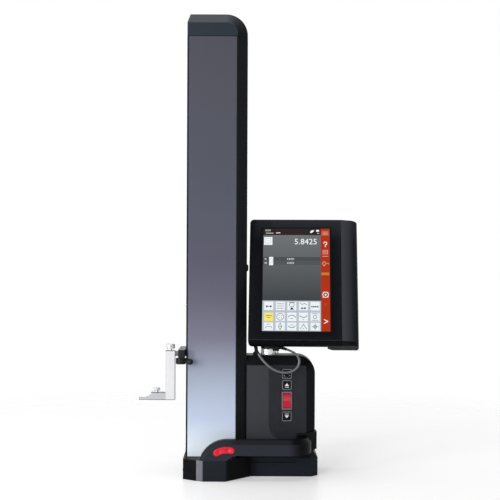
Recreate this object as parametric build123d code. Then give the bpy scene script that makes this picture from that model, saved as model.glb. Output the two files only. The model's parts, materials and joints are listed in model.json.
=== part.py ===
"""Column height gauge with an air-bearing base, a motor-driven carriage and a tilting touch display.

Millimetres, +Z up. The origin is on the surface plate under the column's centre. The probe points
along -X, the control housing stands on the +X side, and the operator's side is -Y.
"""
from math import asin, atan2, cos, degrees, pi, radians, sin, sqrt, tan
import os

from build123d import *

os.makedirs("parts", exist_ok=True)

# ---- driving dimensions -------------------------------------------------------------------------
RUN_GAP = 0.3            # air between pieces that move past each other
BORE_GAP = 0.05          # radial clearance of a shaft in its bore

# base
BASE_TOP = 40.0
FOOT_LEFT = -64.0        # left end of the two feet
FOOT_RIGHT = 20.6
FOOT_REACH = 99.0        # front of each foot from the centre plane
FOOT_CHAMFER_X = 39.0    # how far the foot's slanted corner runs along X
FOOT_CHAMFER_Y = 23.0
FOOT_STRIP = 12.0        # narrow second facet of that corner
STEM_RIGHT = 203.0
STEM_HALF = 50.0
STEM_CORNER = 13.0
STEM_EDGE_Z = 36.0       # where the plinth's slope begins
PLINTH_SLOPE = 8.0
RECESS_DEPTH = 3.0
RECESS_HEIGHT = 9.0
RECESS_ENDS = (70.0, 160.0)
PAD_RADIUS = 26.0
PAD_HEIGHT = 10.0
PAD_FRONT_X = -20.0
PAD_FRONT_Y = 64.0
PAD_REAR_X = 160.0

# column
COLUMN_WIDTH = 120.0
COLUMN_DEPTH = 110.0
COLUMN_TOP = 922.0
CAP_HEIGHT = 48.0
COLUMN_BEVEL = 20.0
CAP_RADIUS = 43.0
CAP_SLANT = 5.0
SKIN = 3.0               # thickness of panels, covers and shells
COVER_SCREW_INSET = 34.0     # from the cap to the uppermost screws
COVER_SCREW_PITCH = 270.0
SCREW_HEAD = 3.3
SCREW_DEPTH = 1.6        # how deep a cover screw's head sits
PANEL_EDGE_X = 38.5      # where the side panels meet the rear cover
TRIM_WIDTH = 3.3
COVER_FLANGE = 10.0
SPINE_WALL = 6.0
SPINE_BACK = 8.0
SPINE_GAP = 4.0          # spine's top to the cap
SLOT_HALF = 15.0         # half width of the carriage slot

# drive
BELT_Y = -30.0
BELT_WIDTH = 10.0
BELT_THICK = 2.0
BELT_X = -2.0
BELT_RADIUS = 15.0       # inside of the belt where it rounds a pulley
DRIVE_DROP = 25.0        # spine's top to the drive pulley's axis
IDLER_Z = 62.5
FLANGE_RADIUS = 18.5
FLANGE_THICK = 1.2
SHAFT_RADIUS = 3.0
MOTOR_RADIUS = 21.0
MOTOR_LENGTH = 48.0
PLATE = 4.0

# guide
RAIL_WIDTH = 15.0
RAIL_HEIGHT = 13.0
RAIL_FOOT = 50.0
RAIL_DROP = 65.0         # drive pulley's axis to the rail's top
RAIL_SCREWS = 7
RAIL_SCREW_HEAD = 4.5
RAIL_SCREW_DEPTH = 5.0
BLOCK_WIDTH = 34.0
BLOCK_LENGTH = 60.0
BLOCK_FRONT = 24.0       # rail seat to the block's front face
BLOCK_SEAT = 4.0         # rail seat to the block's lower edge
SCALE_WIDTH = 20.0
SCALE_THICK = 6.0
SCALE_FOOT = 60.0
SCALE_DROP = 45.0        # drive pulley's axis to the scale's top

# carriage and probe, at the stored height
CARRIAGE_Z = 245.0
CARRIAGE_HALF = 35.0
WEB_HALF = 6.0
WEB_FLANGE = 8.0
ARM_HEIGHT = 15.0
ARM_HALF = 10.0
ARM_OUT = -75.0
ARM_FACE = -61.5
PROBE_Y = -61.0          # plane of the rod, the holder and the stylus
ROD_RADIUS = 5.0
ROD_INSET = 0.5          # rod's end inside the holder's left face
LEVER_X = -69.5
LEVER_RADIUS = 10.4
LEVER_HEIGHT = 12.0
LEVER_STUD = 3.0
LEVER_TIP = (-51.0, -70.0)
LEVER_TIP_RADIUS = 6.2
HOLDER_LEFT = -100.0
HOLDER_RIGHT = -80.8
HOLDER_TOP = 251.0
HOLDER_BOTTOM = 153.4
HOLDER_THICK = 11.0
FOOT_BLOCK_LEFT = -128.2
FOOT_BLOCK_HEIGHT = 15.0
STYLUS_TIP = -152.2
STYLUS_WIDTH = 7.0
SHANK_RADIUS = 3.0
HOLDER_KNOB = (9.1, 9.1, 3.0)    # radius, height and neck of the upper thumb screw
STYLUS_KNOB = (7.2, 5.4, 3.0)
KNOB_LIFT = 3.2          # a thumb screw's seat to the underside of its knob
FLUTES = 12
FLUTE_DEPTH = 1.2
COUNTERWEIGHT_Z = 610.0
COUNTERWEIGHT_LENGTH = 110.0

# handle
HANDLE_TOP = 79.5
HANDLE_BOTTOM = 50.0
HANDLE_DEPTH = 22.0
HANDLE_BEVEL = 8.0
ARCH_RADIUS = 56.0
ARCH_CENTRE = (22.0, 23.5)
HANDLE_ROOT_X = -31.5
BEND_X = 145.0
BEND_RADIUS = 33.0       # centre line of the bend into the housing
FLANGE_LEFT = 159.0
FLANGE_TOP = 85.0
FLANGE_PLATE = 4.0
AIR_BUTTON_RADIUS = 38.0
AIR_BUTTON_ANGLES = (121.0, 76.0)
AIR_BUTTON_WIDTH = 13.0
AIR_BUTTON_PROUD = 1.5
AIR_BUTTON_TRAVEL = 2.0

# housing
HOUSING_RIGHT = 198.0
HOUSING_HALF = 40.0
HOUSING_FLOOR = 48.0
HOUSING_TOP = 238.0
HOUSING_RADIUS = 36.0
HOUSING_BEVEL = 18.0
KEY_X = 140.9
KEY_SIZE = 17.0
KEY_PROUD = 1.2
KEY_TRAVEL = 1.0
KEY_BACK = 4.8           # the housing's face to the back of a key
CURVE_KEY_Z = 202.8
UP_KEY_Z = 180.7
ROCKER_Z = 149.3
DOWN_KEY_Z = 118.0
ROCKER_SIZE = (20.6, 36.0)
ROCKER_BACK = 10.5       # the housing's face to the back of the rocker's frame
BOARD_DEPTH = 20.0       # housing's face to the control board
BOARD_THICK = 1.6
BOARD_FOOT = 49.0        # housing's floor to the board's lower edge
BOARD_HEAD = 16.0        # housing's top to its upper edge
SWITCH_HALF = 6.0
ROCKER_SWITCH = (7.0, 12.0)
BATTERY_HEIGHT = 80.0
BATTERY_GAP = 14.0       # battery pack to the air pump
PUMP_HEIGHT = 78.0
PUMP_INSET = 45.0        # housing's inner right wall to the pump's axis
PUMP_GAP = 2.4           # control board to the pump, which fills the depth to the power inlet
PUMP_STEP = 7.0          # pump's body to its narrower head
INLET_INSET = 33.0       # housing's right end to the inlet's axis
INLET_Z = 82.0
INLET_RADIUS = 7.0
INLET_BORE = 2.75
INLET_BORE_DEPTH = 8.0
INLET_DEPTH = 16.0
INLET_RIM = 2.5
INLET_RIM_PROUD = 1.6

# display mount
POST_X = 104.8
COLLAR_RADIUS = 16.0
COLLAR_HEIGHT = 12.0
NECK_RADIUS = 10.0
NECK_TOP = 292.0
STUD_RADIUS = 6.0
STOP_PIN_RADIUS = 1.6
STOP_PIN_OFFSET = 18.6
STOP_PIN_TOP = 260.0
SLEEVE_TOP = 282.0
EAR_GAP = 13.0           # half gap between the bracket's ears
EAR_THICK = 6.0
EAR_RADIUS = 10.0
TILT_PIN_RADIUS = 4.0
KNUCKLE_RADIUS = 9.0
SWIVEL_REACH = 60.0      # how far the display swivels, degrees

# display, in its own frame: x to the right of the post, y into the body, z up the slope
DISPLAY_YAW = -2.5
DISPLAY_TILT = 19.5
DISPLAY_FACE_Y = -79.0
DISPLAY_FACE_Z = 289.2   # height of the lower edge of the picture
DISPLAY_LEFT = -38.5
DISPLAY_RIGHT = 179.2
DISPLAY_BOTTOM = -24.2
DISPLAY_TOP = 236.7
DISPLAY_THICK = 35.0
DISPLAY_CORNER = 8.0
BEZEL_THICK = 12.0
BEZEL_RIGHT = 145.0
FRONT_BEVEL = 8.0
REAR_BEVEL = 15.0
GRIP_DEPTH = 58.0
GRIP_INNER = 118.0
GRIP_SLOPE = 12.0        # how far the grip's front facet falls back, degrees
GRIP_FACET = 18.0
SCREEN_X = (-14.0, 125.5)
SCREEN_Z = (-2.0, 219.0)
SCREEN_SUNK = 0.3
HINGE_DEPTH = 50.0
HINGE_HEIGHT = 40.0
LUG_PLATE = 3.0

# display cable
CABLE_RADIUS = 2.25
CABLE_SIDES = 8
PLUG_X = 79.5
PLUG_Y = -10.0
PLUG_TOP = 254.0
LOWER_ROUTE = [           # cable from the housing's plug to the foot of its loop
    (79.5, -10.0, 254.0),
    (79.5, -10.0, 266.0),
    (77.6, -14.0, 278.5),
    (75.4, -24.0, 284.0),
    (74.0, -35.5, 280.0),
    (74.2, -43.0, 268.5),
    (78.0, -49.0, 254.0),
    (85.0, -54.0, 240.5),
    (95.5, -57.5, 226.5),
    (108.5, -59.5, 213.5),
    (124.5, -60.0, 205.0),
]
UPPER_ROUTE = [           # and on to the display
    (141.5, -60.0, 203.5),
    (155.5, -59.5, 209.5),
    (163.8, -58.5, 221.5),
    (164.8, -57.5, 234.5),
    (157.5, -56.5, 245.0),
    (146.5, -56.0, 250.8),
    (138.8, -55.8, 253.4),
]
BOOT_LENGTH = 16.0
RELIEF_RADII = (4.2, 3.0)
RELIEF_SIDES = 12
PLUG_NUT_RADIUS = 6.5
PLUG_NUT_HEIGHT = 5.0
PLUG_HEAD = 13.0

half_width = COLUMN_WIDTH / 2
half_depth = COLUMN_DEPTH / 2
cap_bottom = COLUMN_TOP - CAP_HEIGHT
spine_top = cap_bottom - SPINE_GAP
drive_z = spine_top - DRIVE_DROP
rail_ends = (RAIL_FOOT, drive_z - RAIL_DROP)
board_y = BOARD_DEPTH - HOUSING_HALF
inner_left = half_width + SKIN
inner_right = HOUSING_RIGHT - SKIN
inner_floor = HOUSING_FLOOR + SKIN
pump_x = inner_right - PUMP_INSET
inlet_x = HOUSING_RIGHT - INLET_INSET
inlet_front = HOUSING_HALF - INLET_DEPTH
board_back = board_y + BOARD_THICK
pump_radius = (inlet_front - board_back - PUMP_GAP) / 2
pump_y = inlet_front - pump_radius
trim_back = TRIM_WIDTH - half_width
belt_outer = BELT_RADIUS + BELT_THICK
front_run = BELT_X - BELT_RADIUS - BELT_THICK / 2
back_run = BELT_X + BELT_RADIUS + BELT_THICK / 2
spine_half = half_depth - SKIN
rail_seat = PANEL_EDGE_X - SPINE_BACK
block_face = rail_seat - BLOCK_FRONT
arm_low = CARRIAGE_Z - ARM_HEIGHT / 2
arm_high = CARRIAGE_Z + ARM_HEIGHT / 2
lever_top = arm_low - 1.5
handle_back = HANDLE_DEPTH - FOOT_REACH


# ---- helpers ------------------------------------------------------------------------------------
def block(xs, ys, zs):
    """Box between two limits on each axis."""
    size = (abs(xs[1] - xs[0]), abs(ys[1] - ys[0]), abs(zs[1] - zs[0]))
    centre = (sum(xs) / 2, sum(ys) / 2, sum(zs) / 2)
    return Pos(*centre) * Box(*size)


def rod_z(x, y, radius, zs):
    """Upright cylinder."""
    return Pos(x, y, sum(zs) / 2) * Cylinder(radius, abs(zs[1] - zs[0]))


def rod_y(x, z, radius, ys):
    """Cylinder along Y."""
    return Pos(x, sum(ys) / 2, z) * Rot(90, 0, 0) * Cylinder(radius, abs(ys[1] - ys[0]))


def rod_x(y, z, radius, xs):
    """Cylinder along X."""
    return Pos(sum(xs) / 2, y, z) * Rot(0, 90, 0) * Cylinder(radius, abs(xs[1] - xs[0]))


def plan_prism(points, zs):
    """Upright prism over a plan outline of (x, y) points."""
    face = make_face(Polyline(*points, close=True))
    return Pos(0, 0, zs[0]) * extrude(face, zs[1] - zs[0])


def side_prism(face, ys):
    """Prism along Y over a flat (x, z) outline drawn in the XY plane."""
    return Pos(0, ys[1], 0) * Rot(90, 0, 0) * extrude(face, ys[1] - ys[0])


def end_prism(face, xs):
    """Prism along X over a flat (y, z) outline drawn in the XY plane."""
    return extrude(Plane.YZ.offset(xs[0]) * face, xs[1] - xs[0])


def mirrored_plan(points):
    """The outline and its mirror image in the centre plane, as one closed list."""
    return points + [(x, -y) for x, y in reversed(points)]


def bevelled_form(xs, half, zs, radius, bevel):
    """Slab with one rounded upper right corner, bevelled along its top and right-hand edges."""
    outline = Pos(sum(xs) / 2, sum(zs) / 2) * Rectangle(xs[1] - xs[0], zs[1] - zs[0])
    corner = outline.vertices().group_by(Axis.X)[-1].sort_by(Axis.Y)[-1]
    form = side_prism(fillet(corner, radius), (-half, half))
    edges = []
    for face in (form.faces().sort_by(Axis.Y)[0], form.faces().sort_by(Axis.Y)[-1]):
        for edge in face.edges():
            middle = edge.center()
            if middle.X > xs[0] + 1 and middle.Z > zs[0] + 1:
                edges.append(edge)
    return chamfer(edges, bevel)


def fluted_knob(x, y, radius, zs):
    """Round grip with V-shaped flutes cut down its rim."""
    knob = rod_z(x, y, radius, zs)
    flute = extrude(RegularPolygon(FLUTE_DEPTH, 3), zs[1] - zs[0])
    for turn in range(FLUTES):
        angle = 360 * turn / FLUTES
        knob -= Pos(x, y, zs[0]) * Rot(0, 0, angle) * Pos(radius, 0, 0) * Rot(0, 0, 180) * flute
    return knob


def thumb_screw(x, y, seat, knob, shank_length):
    """Fluted thumb screw standing on a seat height, with its shank below it."""
    radius, height, neck = knob
    underside = seat + KNOB_LIFT
    head = fluted_knob(x, y, radius, (underside, underside + height))
    stem = rod_z(x, y, neck, (seat, underside))
    return head + stem + rod_z(x, y, neck - 1, (seat - shank_length, seat))


def save(node, shape):
    """Write one node's solids as one STEP file."""
    solids = shape.solids()
    whole = solids[0] if len(solids) == 1 else Compound(children=list(solids))
    whole.label = node
    export_step(whole, f"parts/{node}.step")


# ---- base ---------------------------------------------------------------------------------------
def pad_places():
    return [(PAD_FRONT_X, -PAD_FRONT_Y), (PAD_FRONT_X, PAD_FRONT_Y), (PAD_REAR_X, 0.0)]


def base_casting():
    diagonal = FOOT_REACH - STEM_HALF
    near = [
        (FOOT_LEFT, -FOOT_REACH + FOOT_CHAMFER_Y),
        (FOOT_LEFT + FOOT_CHAMFER_X - FOOT_STRIP, -FOOT_REACH + FOOT_CHAMFER_Y / 4),
        (FOOT_LEFT + FOOT_CHAMFER_X, -FOOT_REACH),
        (FOOT_RIGHT, -FOOT_REACH),
        (FOOT_RIGHT + diagonal, -STEM_HALF),
        (STEM_RIGHT - STEM_CORNER, -STEM_HALF),
        (STEM_RIGHT, -STEM_HALF + STEM_CORNER),
    ]
    body = plan_prism(mirrored_plan(near), (0, STEM_EDGE_Z))
    crossbar = plan_prism(mirrored_plan(near[:5]), (STEM_EDGE_Z, BASE_TOP))
    body += crossbar & block((FOOT_LEFT, half_width), (-FOOT_REACH, FOOT_REACH), (STEM_EDGE_Z, BASE_TOP))
    stem = [
        (0.0, -STEM_HALF),
        (STEM_RIGHT - STEM_CORNER, -STEM_HALF),
        (STEM_RIGHT, -STEM_HALF + STEM_CORNER),
    ]
    rise = HOUSING_FLOOR - STEM_EDGE_Z
    slope = degrees(atan2(PLINTH_SLOPE, rise))
    stem_face = make_face(Polyline(*mirrored_plan(stem), close=True))
    plinth = Pos(0, 0, STEM_EDGE_Z) * extrude(stem_face, rise, taper=slope)
    body += plinth & block((half_width, STEM_RIGHT), (-STEM_HALF, STEM_HALF), (STEM_EDGE_Z, HOUSING_FLOOR))
    for side in (-1, 1):
        edge = side * STEM_HALF
        body -= block(RECESS_ENDS, (edge, edge - side * RECESS_DEPTH),
                      (STEM_EDGE_Z - RECESS_HEIGHT, STEM_EDGE_Z - 1.5))
    for x, y in pad_places():
        body -= rod_z(x, y, PAD_RADIUS + RUN_GAP, (0, PAD_HEIGHT))
    return body


def air_pads():
    pads = []
    for x, y in pad_places():
        pad = rod_z(x, y, PAD_RADIUS, (0, PAD_HEIGHT))
        pad -= rod_z(x, y, 1.0, (0, PAD_HEIGHT))
        pads.append(pad)
    return Compound(children=pads)


# ---- column -------------------------------------------------------------------------------------
def column_spine():
    xs = (trim_back, PANEL_EDGE_X)
    body = block(xs, (-spine_half, spine_half), (BASE_TOP, spine_top))
    inside = spine_half - SPINE_WALL
    body -= block((trim_back + SPINE_WALL, rail_seat), (-inside, inside), (BASE_TOP, spine_top))
    body -= block((trim_back, trim_back + SPINE_WALL), (-SLOT_HALF - 1, SLOT_HALF + 1), (BASE_TOP, spine_top))
    return body


def column_rear_cover():
    """Folded cover: bevel, back and bevel, with inward flanges against the spine."""
    def outline(inset):
        edge = half_depth - inset
        back = half_width - inset
        bevel = COLUMN_BEVEL - inset * (2 - sqrt(2))
        return [(PANEL_EDGE_X, -edge), (back - bevel, -edge), (back, -edge + bevel)]
    zs = (BASE_TOP, cap_bottom)
    body = plan_prism(mirrored_plan(outline(0)), zs) - plan_prism(mirrored_plan(outline(SKIN)), zs)
    for side in (-1, 1):
        edge = side * spine_half
        body += block((PANEL_EDGE_X, PANEL_EDGE_X + SKIN), (edge, edge - side * COVER_FLANGE), zs)
    for y, z in column_screw_places():
        body -= rod_x(y, z, SCREW_HEAD + 2 * BORE_GAP, (half_width - SCREW_DEPTH, half_width))
    return body


def side_panel(side):
    edge = side * half_depth
    return block((trim_back, PANEL_EDGE_X), (edge - side * SKIN, edge), (BASE_TOP, cap_bottom))


def front_trims():
    strips = []
    for side in (-1, 1):
        ys = (side * SLOT_HALF, side * half_depth)
        strip = block((-half_width, trim_back), ys, (BASE_TOP, cap_bottom))
        slot_edge = strip.edges().filter_by(Axis.Z).sort_by(lambda e: abs(e.center().Y) + e.center().X)[0]
        strips.append(chamfer(slot_edge, 1.2))
    return Compound(children=strips)


def top_cap():
    def form(inset, low):
        return bevelled_form(
            (inset - half_width, half_width - inset), half_depth - inset, (low, COLUMN_TOP - inset),
            CAP_RADIUS - inset, COLUMN_BEVEL - inset * (2 - sqrt(2)))
    body = form(0, cap_bottom) - form(SKIN, cap_bottom)
    slant = [(-half_width - 9, COLUMN_TOP + 9), (-half_width + CAP_SLANT, COLUMN_TOP + 0.01),
             (-half_width, COLUMN_TOP - COLUMN_BEVEL), (-half_width - 9, COLUMN_TOP - COLUMN_BEVEL)]
    wedge = side_prism(make_face(Polyline(*slant, close=True)), (-half_depth, half_depth))
    inside = half_depth - SKIN
    inner_wall = block((-half_width + SKIN, -half_width + SKIN + CAP_SLANT), (-inside, inside),
                       (COLUMN_TOP - COLUMN_BEVEL, COLUMN_TOP - SKIN))
    body += inner_wall & form(0, cap_bottom)
    return body - wedge


def rail_screw_heights():
    low, high = rail_ends
    pitch = (high - low) / RAIL_SCREWS
    return [low + pitch * (index + 0.5) for index in range(RAIL_SCREWS)]


def guide_rail():
    near = RAIL_WIDTH / 2
    front = rail_seat - RAIL_HEIGHT
    side = [(rail_seat, -near), (rail_seat - 4, -near), (rail_seat - 6, -near + 1.5),
            (front + 3, -near + 1.5), (front + 1.5, -near), (front, -near + 1)]
    body = plan_prism(mirrored_plan(side), rail_ends)
    for z in rail_screw_heights():
        body -= rod_x(0, z, RAIL_SCREW_HEAD + BORE_GAP, (front, front + RAIL_SCREW_DEPTH))
    return body


def rail_screws():
    front = rail_seat - RAIL_HEIGHT
    screws = []
    for z in rail_screw_heights():
        screws.append(rod_x(0, z, RAIL_SCREW_HEAD, (front + 0.8, front + RAIL_SCREW_DEPTH)))
    return Compound(children=screws)


def glass_scale():
    wall = spine_half - SPINE_WALL
    return block((-6 - SCALE_WIDTH, -6), (wall - SCALE_THICK, wall), (SCALE_FOOT, drive_z - SCALE_DROP))


# ---- drive --------------------------------------------------------------------------------------
def stadium(radius):
    """Belt loop outline in (x, z)."""
    middle = (drive_z + IDLER_Z) / 2
    slot = SlotOverall(drive_z - IDLER_Z + 2 * radius, 2 * radius, rotation=90)
    return Pos(BELT_X, middle) * slot


def drive_belt():
    ys = (BELT_Y - BELT_WIDTH / 2, BELT_Y + BELT_WIDTH / 2)
    return side_prism(stadium(belt_outer), ys) - side_prism(stadium(BELT_RADIUS), ys)


def pulley(z):
    """Flanged belt pulley without its bore."""
    half = BELT_WIDTH / 2 + RUN_GAP
    body = rod_y(BELT_X, z, BELT_RADIUS - RUN_GAP, (BELT_Y - half, BELT_Y + half))
    for side in (-1, 1):
        ys = (BELT_Y + side * half, BELT_Y + side * (half + FLANGE_THICK))
        body += rod_y(BELT_X, z, FLANGE_RADIUS, ys)
    return body


motor_plate_ys = (BELT_Y + BELT_WIDTH / 2 + 2.5, BELT_Y + BELT_WIDTH / 2 + 2.5 + PLATE)
motor_ys = (motor_plate_ys[1], motor_plate_ys[1] + MOTOR_LENGTH)


def drive_pulley():
    shaft = rod_y(BELT_X, drive_z, SHAFT_RADIUS, (BELT_Y - 8, motor_ys[0] + 20))
    return pulley(drive_z) + shaft


def idler_pulley():
    return pulley(IDLER_Z) - rod_y(BELT_X, IDLER_Z, SHAFT_RADIUS + BORE_GAP, (BELT_Y - 10, BELT_Y + 10))


def motor_plate():
    body = block((BELT_X - 26, rail_seat), motor_plate_ys, (drive_z - 26, spine_top - 4))
    foot = (rail_seat - PLATE, rail_seat)
    body += block(foot, (motor_plate_ys[0], motor_plate_ys[0] + 22), (drive_z - 26, spine_top - 4))
    return body - rod_y(BELT_X, drive_z, 8.0, motor_plate_ys)


def drive_motor():
    body = rod_y(BELT_X, drive_z, MOTOR_RADIUS, (motor_ys[0], motor_ys[1] - 12))
    body += rod_y(BELT_X, drive_z, MOTOR_RADIUS - 5, (motor_ys[1] - 12, motor_ys[1]))
    return body - rod_y(BELT_X, drive_z, SHAFT_RADIUS + BORE_GAP, (motor_ys[0], motor_ys[0] + 21))


idler_ear = BELT_WIDTH / 2 + FLANGE_THICK + 1.0


def idler_bracket():
    xs = (BELT_X - 13, BELT_X + 13)
    body = block(xs, (BELT_Y - idler_ear - 2.5, BELT_Y + idler_ear + 2.5), (BASE_TOP, BASE_TOP + 3))
    for side in (-1, 1):
        ys = (BELT_Y + side * idler_ear, BELT_Y + side * (idler_ear + 2.5))
        body += block(xs, ys, (BASE_TOP, IDLER_Z + 8))
    return body - rod_y(BELT_X, IDLER_Z, SHAFT_RADIUS, (BELT_Y - 20, BELT_Y + 20))


def idler_axle():
    reach = idler_ear + 2.5
    return rod_y(BELT_X, IDLER_Z, SHAFT_RADIUS, (BELT_Y - reach, BELT_Y + reach))


def belt_slot(run, zs):
    """Room round one run of the belt."""
    wide = BELT_THICK / 2 + 0.6
    return block((run - wide, run + wide), (BELT_Y - BELT_WIDTH / 2 - 0.4, BELT_Y + BELT_WIDTH / 2 + 0.4), zs)


def counterweight():
    zs = (COUNTERWEIGHT_Z - COUNTERWEIGHT_LENGTH / 2, COUNTERWEIGHT_Z + COUNTERWEIGHT_LENGTH / 2)
    inner = -BLOCK_WIDTH / 2 - 2.5
    outer = -(spine_half - SPINE_WALL) + 1.5
    return block((-10, rail_seat - 2.5), (outer, inner), zs) - belt_slot(back_run, zs)


# ---- carriage and probe -------------------------------------------------------------------------
def carriage_plate():
    zs = (CARRIAGE_Z - CARRIAGE_HALF, CARRIAGE_Z + CARRIAGE_HALF)
    body = block((block_face - WEB_FLANGE, block_face), (-BLOCK_WIDTH / 2, BLOCK_WIDTH / 2), zs)
    body += block((trim_back + SPINE_WALL + 1.2, block_face - WEB_FLANGE), (-WEB_HALF, WEB_HALF), zs)
    window = Pos(block_face - WEB_FLANGE - 12, CARRIAGE_Z + 24) * RectangleRounded(14, 12, 3)
    return body - side_prism(window, (-WEB_HALF, WEB_HALF))


def rail_bearing():
    zs = (CARRIAGE_Z - BLOCK_LENGTH / 2, CARRIAGE_Z + BLOCK_LENGTH / 2)
    body = block((block_face, rail_seat - BLOCK_SEAT), (-BLOCK_WIDTH / 2, BLOCK_WIDTH / 2), zs)
    near = RAIL_WIDTH / 2 + RUN_GAP
    return body - block((rail_seat - RAIL_HEIGHT - RUN_GAP, rail_seat), (-near, near), zs)


def read_head():
    wall = spine_half - SPINE_WALL - SCALE_THICK
    return block((-30, -2), (WEB_HALF, wall - 0.5), (CARRIAGE_Z - 18, CARRIAGE_Z + 18))


def belt_clamp():
    zs = (CARRIAGE_Z - 10, CARRIAGE_Z + 10)
    ys = (BELT_Y - BELT_WIDTH / 2 - 3, -WEB_HALF)
    return block((front_run - 6, front_run + 6), ys, zs) - belt_slot(front_run, zs)


def probe_arm():
    zs = (arm_low, arm_high)
    body = block((ARM_FACE, trim_back + SPINE_WALL + 1.2), (-ARM_HALF, ARM_HALF), zs)
    head = block((ARM_OUT, ARM_FACE), (PROBE_Y - 9, ARM_HALF + 2), zs)
    head = fillet(head.edges().filter_by(Axis.Z), 2.5)
    body += head
    body -= rod_x(PROBE_Y, CARRIAGE_Z, ROD_RADIUS, (ARM_OUT, ARM_FACE))
    return body - rod_z(LEVER_X, PROBE_Y, LEVER_STUD + BORE_GAP, (arm_low, CARRIAGE_Z))


def probe_rod():
    return rod_x(PROBE_Y, CARRIAGE_Z, ROD_RADIUS, (HOLDER_LEFT + ROD_INSET, ARM_FACE))


def clamp_lever():
    """Fluted hub under the arm, with a lever reaching past the column."""
    hub = fluted_knob(LEVER_X, PROBE_Y, LEVER_RADIUS, (lever_top - LEVER_HEIGHT, lever_top))
    tip_z = lever_top - LEVER_TIP_RADIUS - 0.4
    run_x = LEVER_TIP[0] - LEVER_X
    run_y = LEVER_TIP[1] - PROBE_Y
    length = sqrt(run_x ** 2 + run_y ** 2) + LEVER_TIP_RADIUS
    way = Pos(LEVER_X, PROBE_Y, tip_z) * Rot(0, 0, degrees(atan2(run_y, run_x))) * Rot(0, 90, 0)
    arm = Pos(0, 0, length / 2) * Cylinder(4.0, length - 2)
    grip = Pos(0, 0, length - LEVER_TIP_RADIUS) * Cylinder(LEVER_TIP_RADIUS, 2 * LEVER_TIP_RADIUS)
    grip = chamfer(grip.edges().filter_by(GeomType.CIRCLE).sort_by(Axis.Z)[-1], 2.2)
    stud = rod_z(LEVER_X, PROBE_Y, LEVER_STUD, (lever_top, CARRIAGE_Z - ROD_RADIUS - RUN_GAP))
    return hub + way * (arm + grip) + stud


holder_x = (HOLDER_LEFT + HOLDER_RIGHT) / 2
stylus_screw_x = FOOT_BLOCK_LEFT + 10.9
holder_ys = (PROBE_Y - HOLDER_THICK / 2, PROBE_Y + HOLDER_THICK / 2)
shank_z = HOLDER_BOTTOM + 6.2


def stylus_holder():
    """Ground steel angle: an upright bar with a bored foot."""
    outline = [
        (HOLDER_LEFT, HOLDER_TOP), (HOLDER_RIGHT, HOLDER_TOP), (HOLDER_RIGHT, HOLDER_BOTTOM),
        (FOOT_BLOCK_LEFT, HOLDER_BOTTOM), (FOOT_BLOCK_LEFT, HOLDER_BOTTOM + FOOT_BLOCK_HEIGHT),
        (HOLDER_LEFT, HOLDER_BOTTOM + FOOT_BLOCK_HEIGHT),
    ]
    body = side_prism(make_face(Polyline(*outline, close=True)), holder_ys)
    body = chamfer(body.edges().filter_by(Axis.Y), 0.6)
    body -= rod_x(PROBE_Y, CARRIAGE_Z, ROD_RADIUS + BORE_GAP, (HOLDER_LEFT - 1, HOLDER_RIGHT + 1))
    body -= rod_x(PROBE_Y, shank_z, SHANK_RADIUS + BORE_GAP, (FOOT_BLOCK_LEFT - 1, HOLDER_LEFT - 1))
    body -= rod_z(holder_x, PROBE_Y, HOLDER_KNOB[2] - 1 + BORE_GAP, (CARRIAGE_Z, HOLDER_TOP + 1))
    top = HOLDER_BOTTOM + FOOT_BLOCK_HEIGHT
    return body - rod_z(stylus_screw_x, PROBE_Y, STYLUS_KNOB[2] - 1 + BORE_GAP, (shank_z, top + 1))


def holder_screw():
    seat = HOLDER_TOP + 0.3
    return thumb_screw(holder_x, PROBE_Y, seat, HOLDER_KNOB, seat - CARRIAGE_Z - ROD_RADIUS - RUN_GAP)


def stylus_screw():
    seat = HOLDER_BOTTOM + FOOT_BLOCK_HEIGHT + 0.3
    return thumb_screw(stylus_screw_x, PROBE_Y, seat, STYLUS_KNOB, seat - shank_z - SHANK_RADIUS - RUN_GAP)


def stylus():
    """Chisel-nosed stylus with a round shank."""
    back = FOOT_BLOCK_LEFT - RUN_GAP
    outline = [
        (STYLUS_TIP, HOLDER_BOTTOM), (back, HOLDER_BOTTOM), (back, HOLDER_BOTTOM + 11),
        (STYLUS_TIP + 21, HOLDER_BOTTOM + 9), (STYLUS_TIP + 12.7, HOLDER_BOTTOM + 4.6),
        (STYLUS_TIP, HOLDER_BOTTOM + 5.2),
    ]
    ys = (PROBE_Y - STYLUS_WIDTH / 2, PROBE_Y + STYLUS_WIDTH / 2)
    nose = side_prism(make_face(Polyline(*outline, close=True)), ys)
    return nose + rod_x(PROBE_Y, shank_z, SHANK_RADIUS, (back, HOLDER_LEFT - 3))


# ---- handle -------------------------------------------------------------------------------------
def arch_point(angle, radius):
    return (ARCH_CENTRE[0] + radius * cos(radians(angle)), ARCH_CENTRE[1] + radius * sin(radians(angle)))


def arch_band(width):
    """Curved slot concentric with the arch, drawn in (x, z)."""
    first, last = AIR_BUTTON_ANGLES
    ends = [arch_point(angle, AIR_BUTTON_RADIUS) for angle in (first, (first + last) / 2, last)]
    return SlotArc(ThreePointArc(*ends), width)


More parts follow.
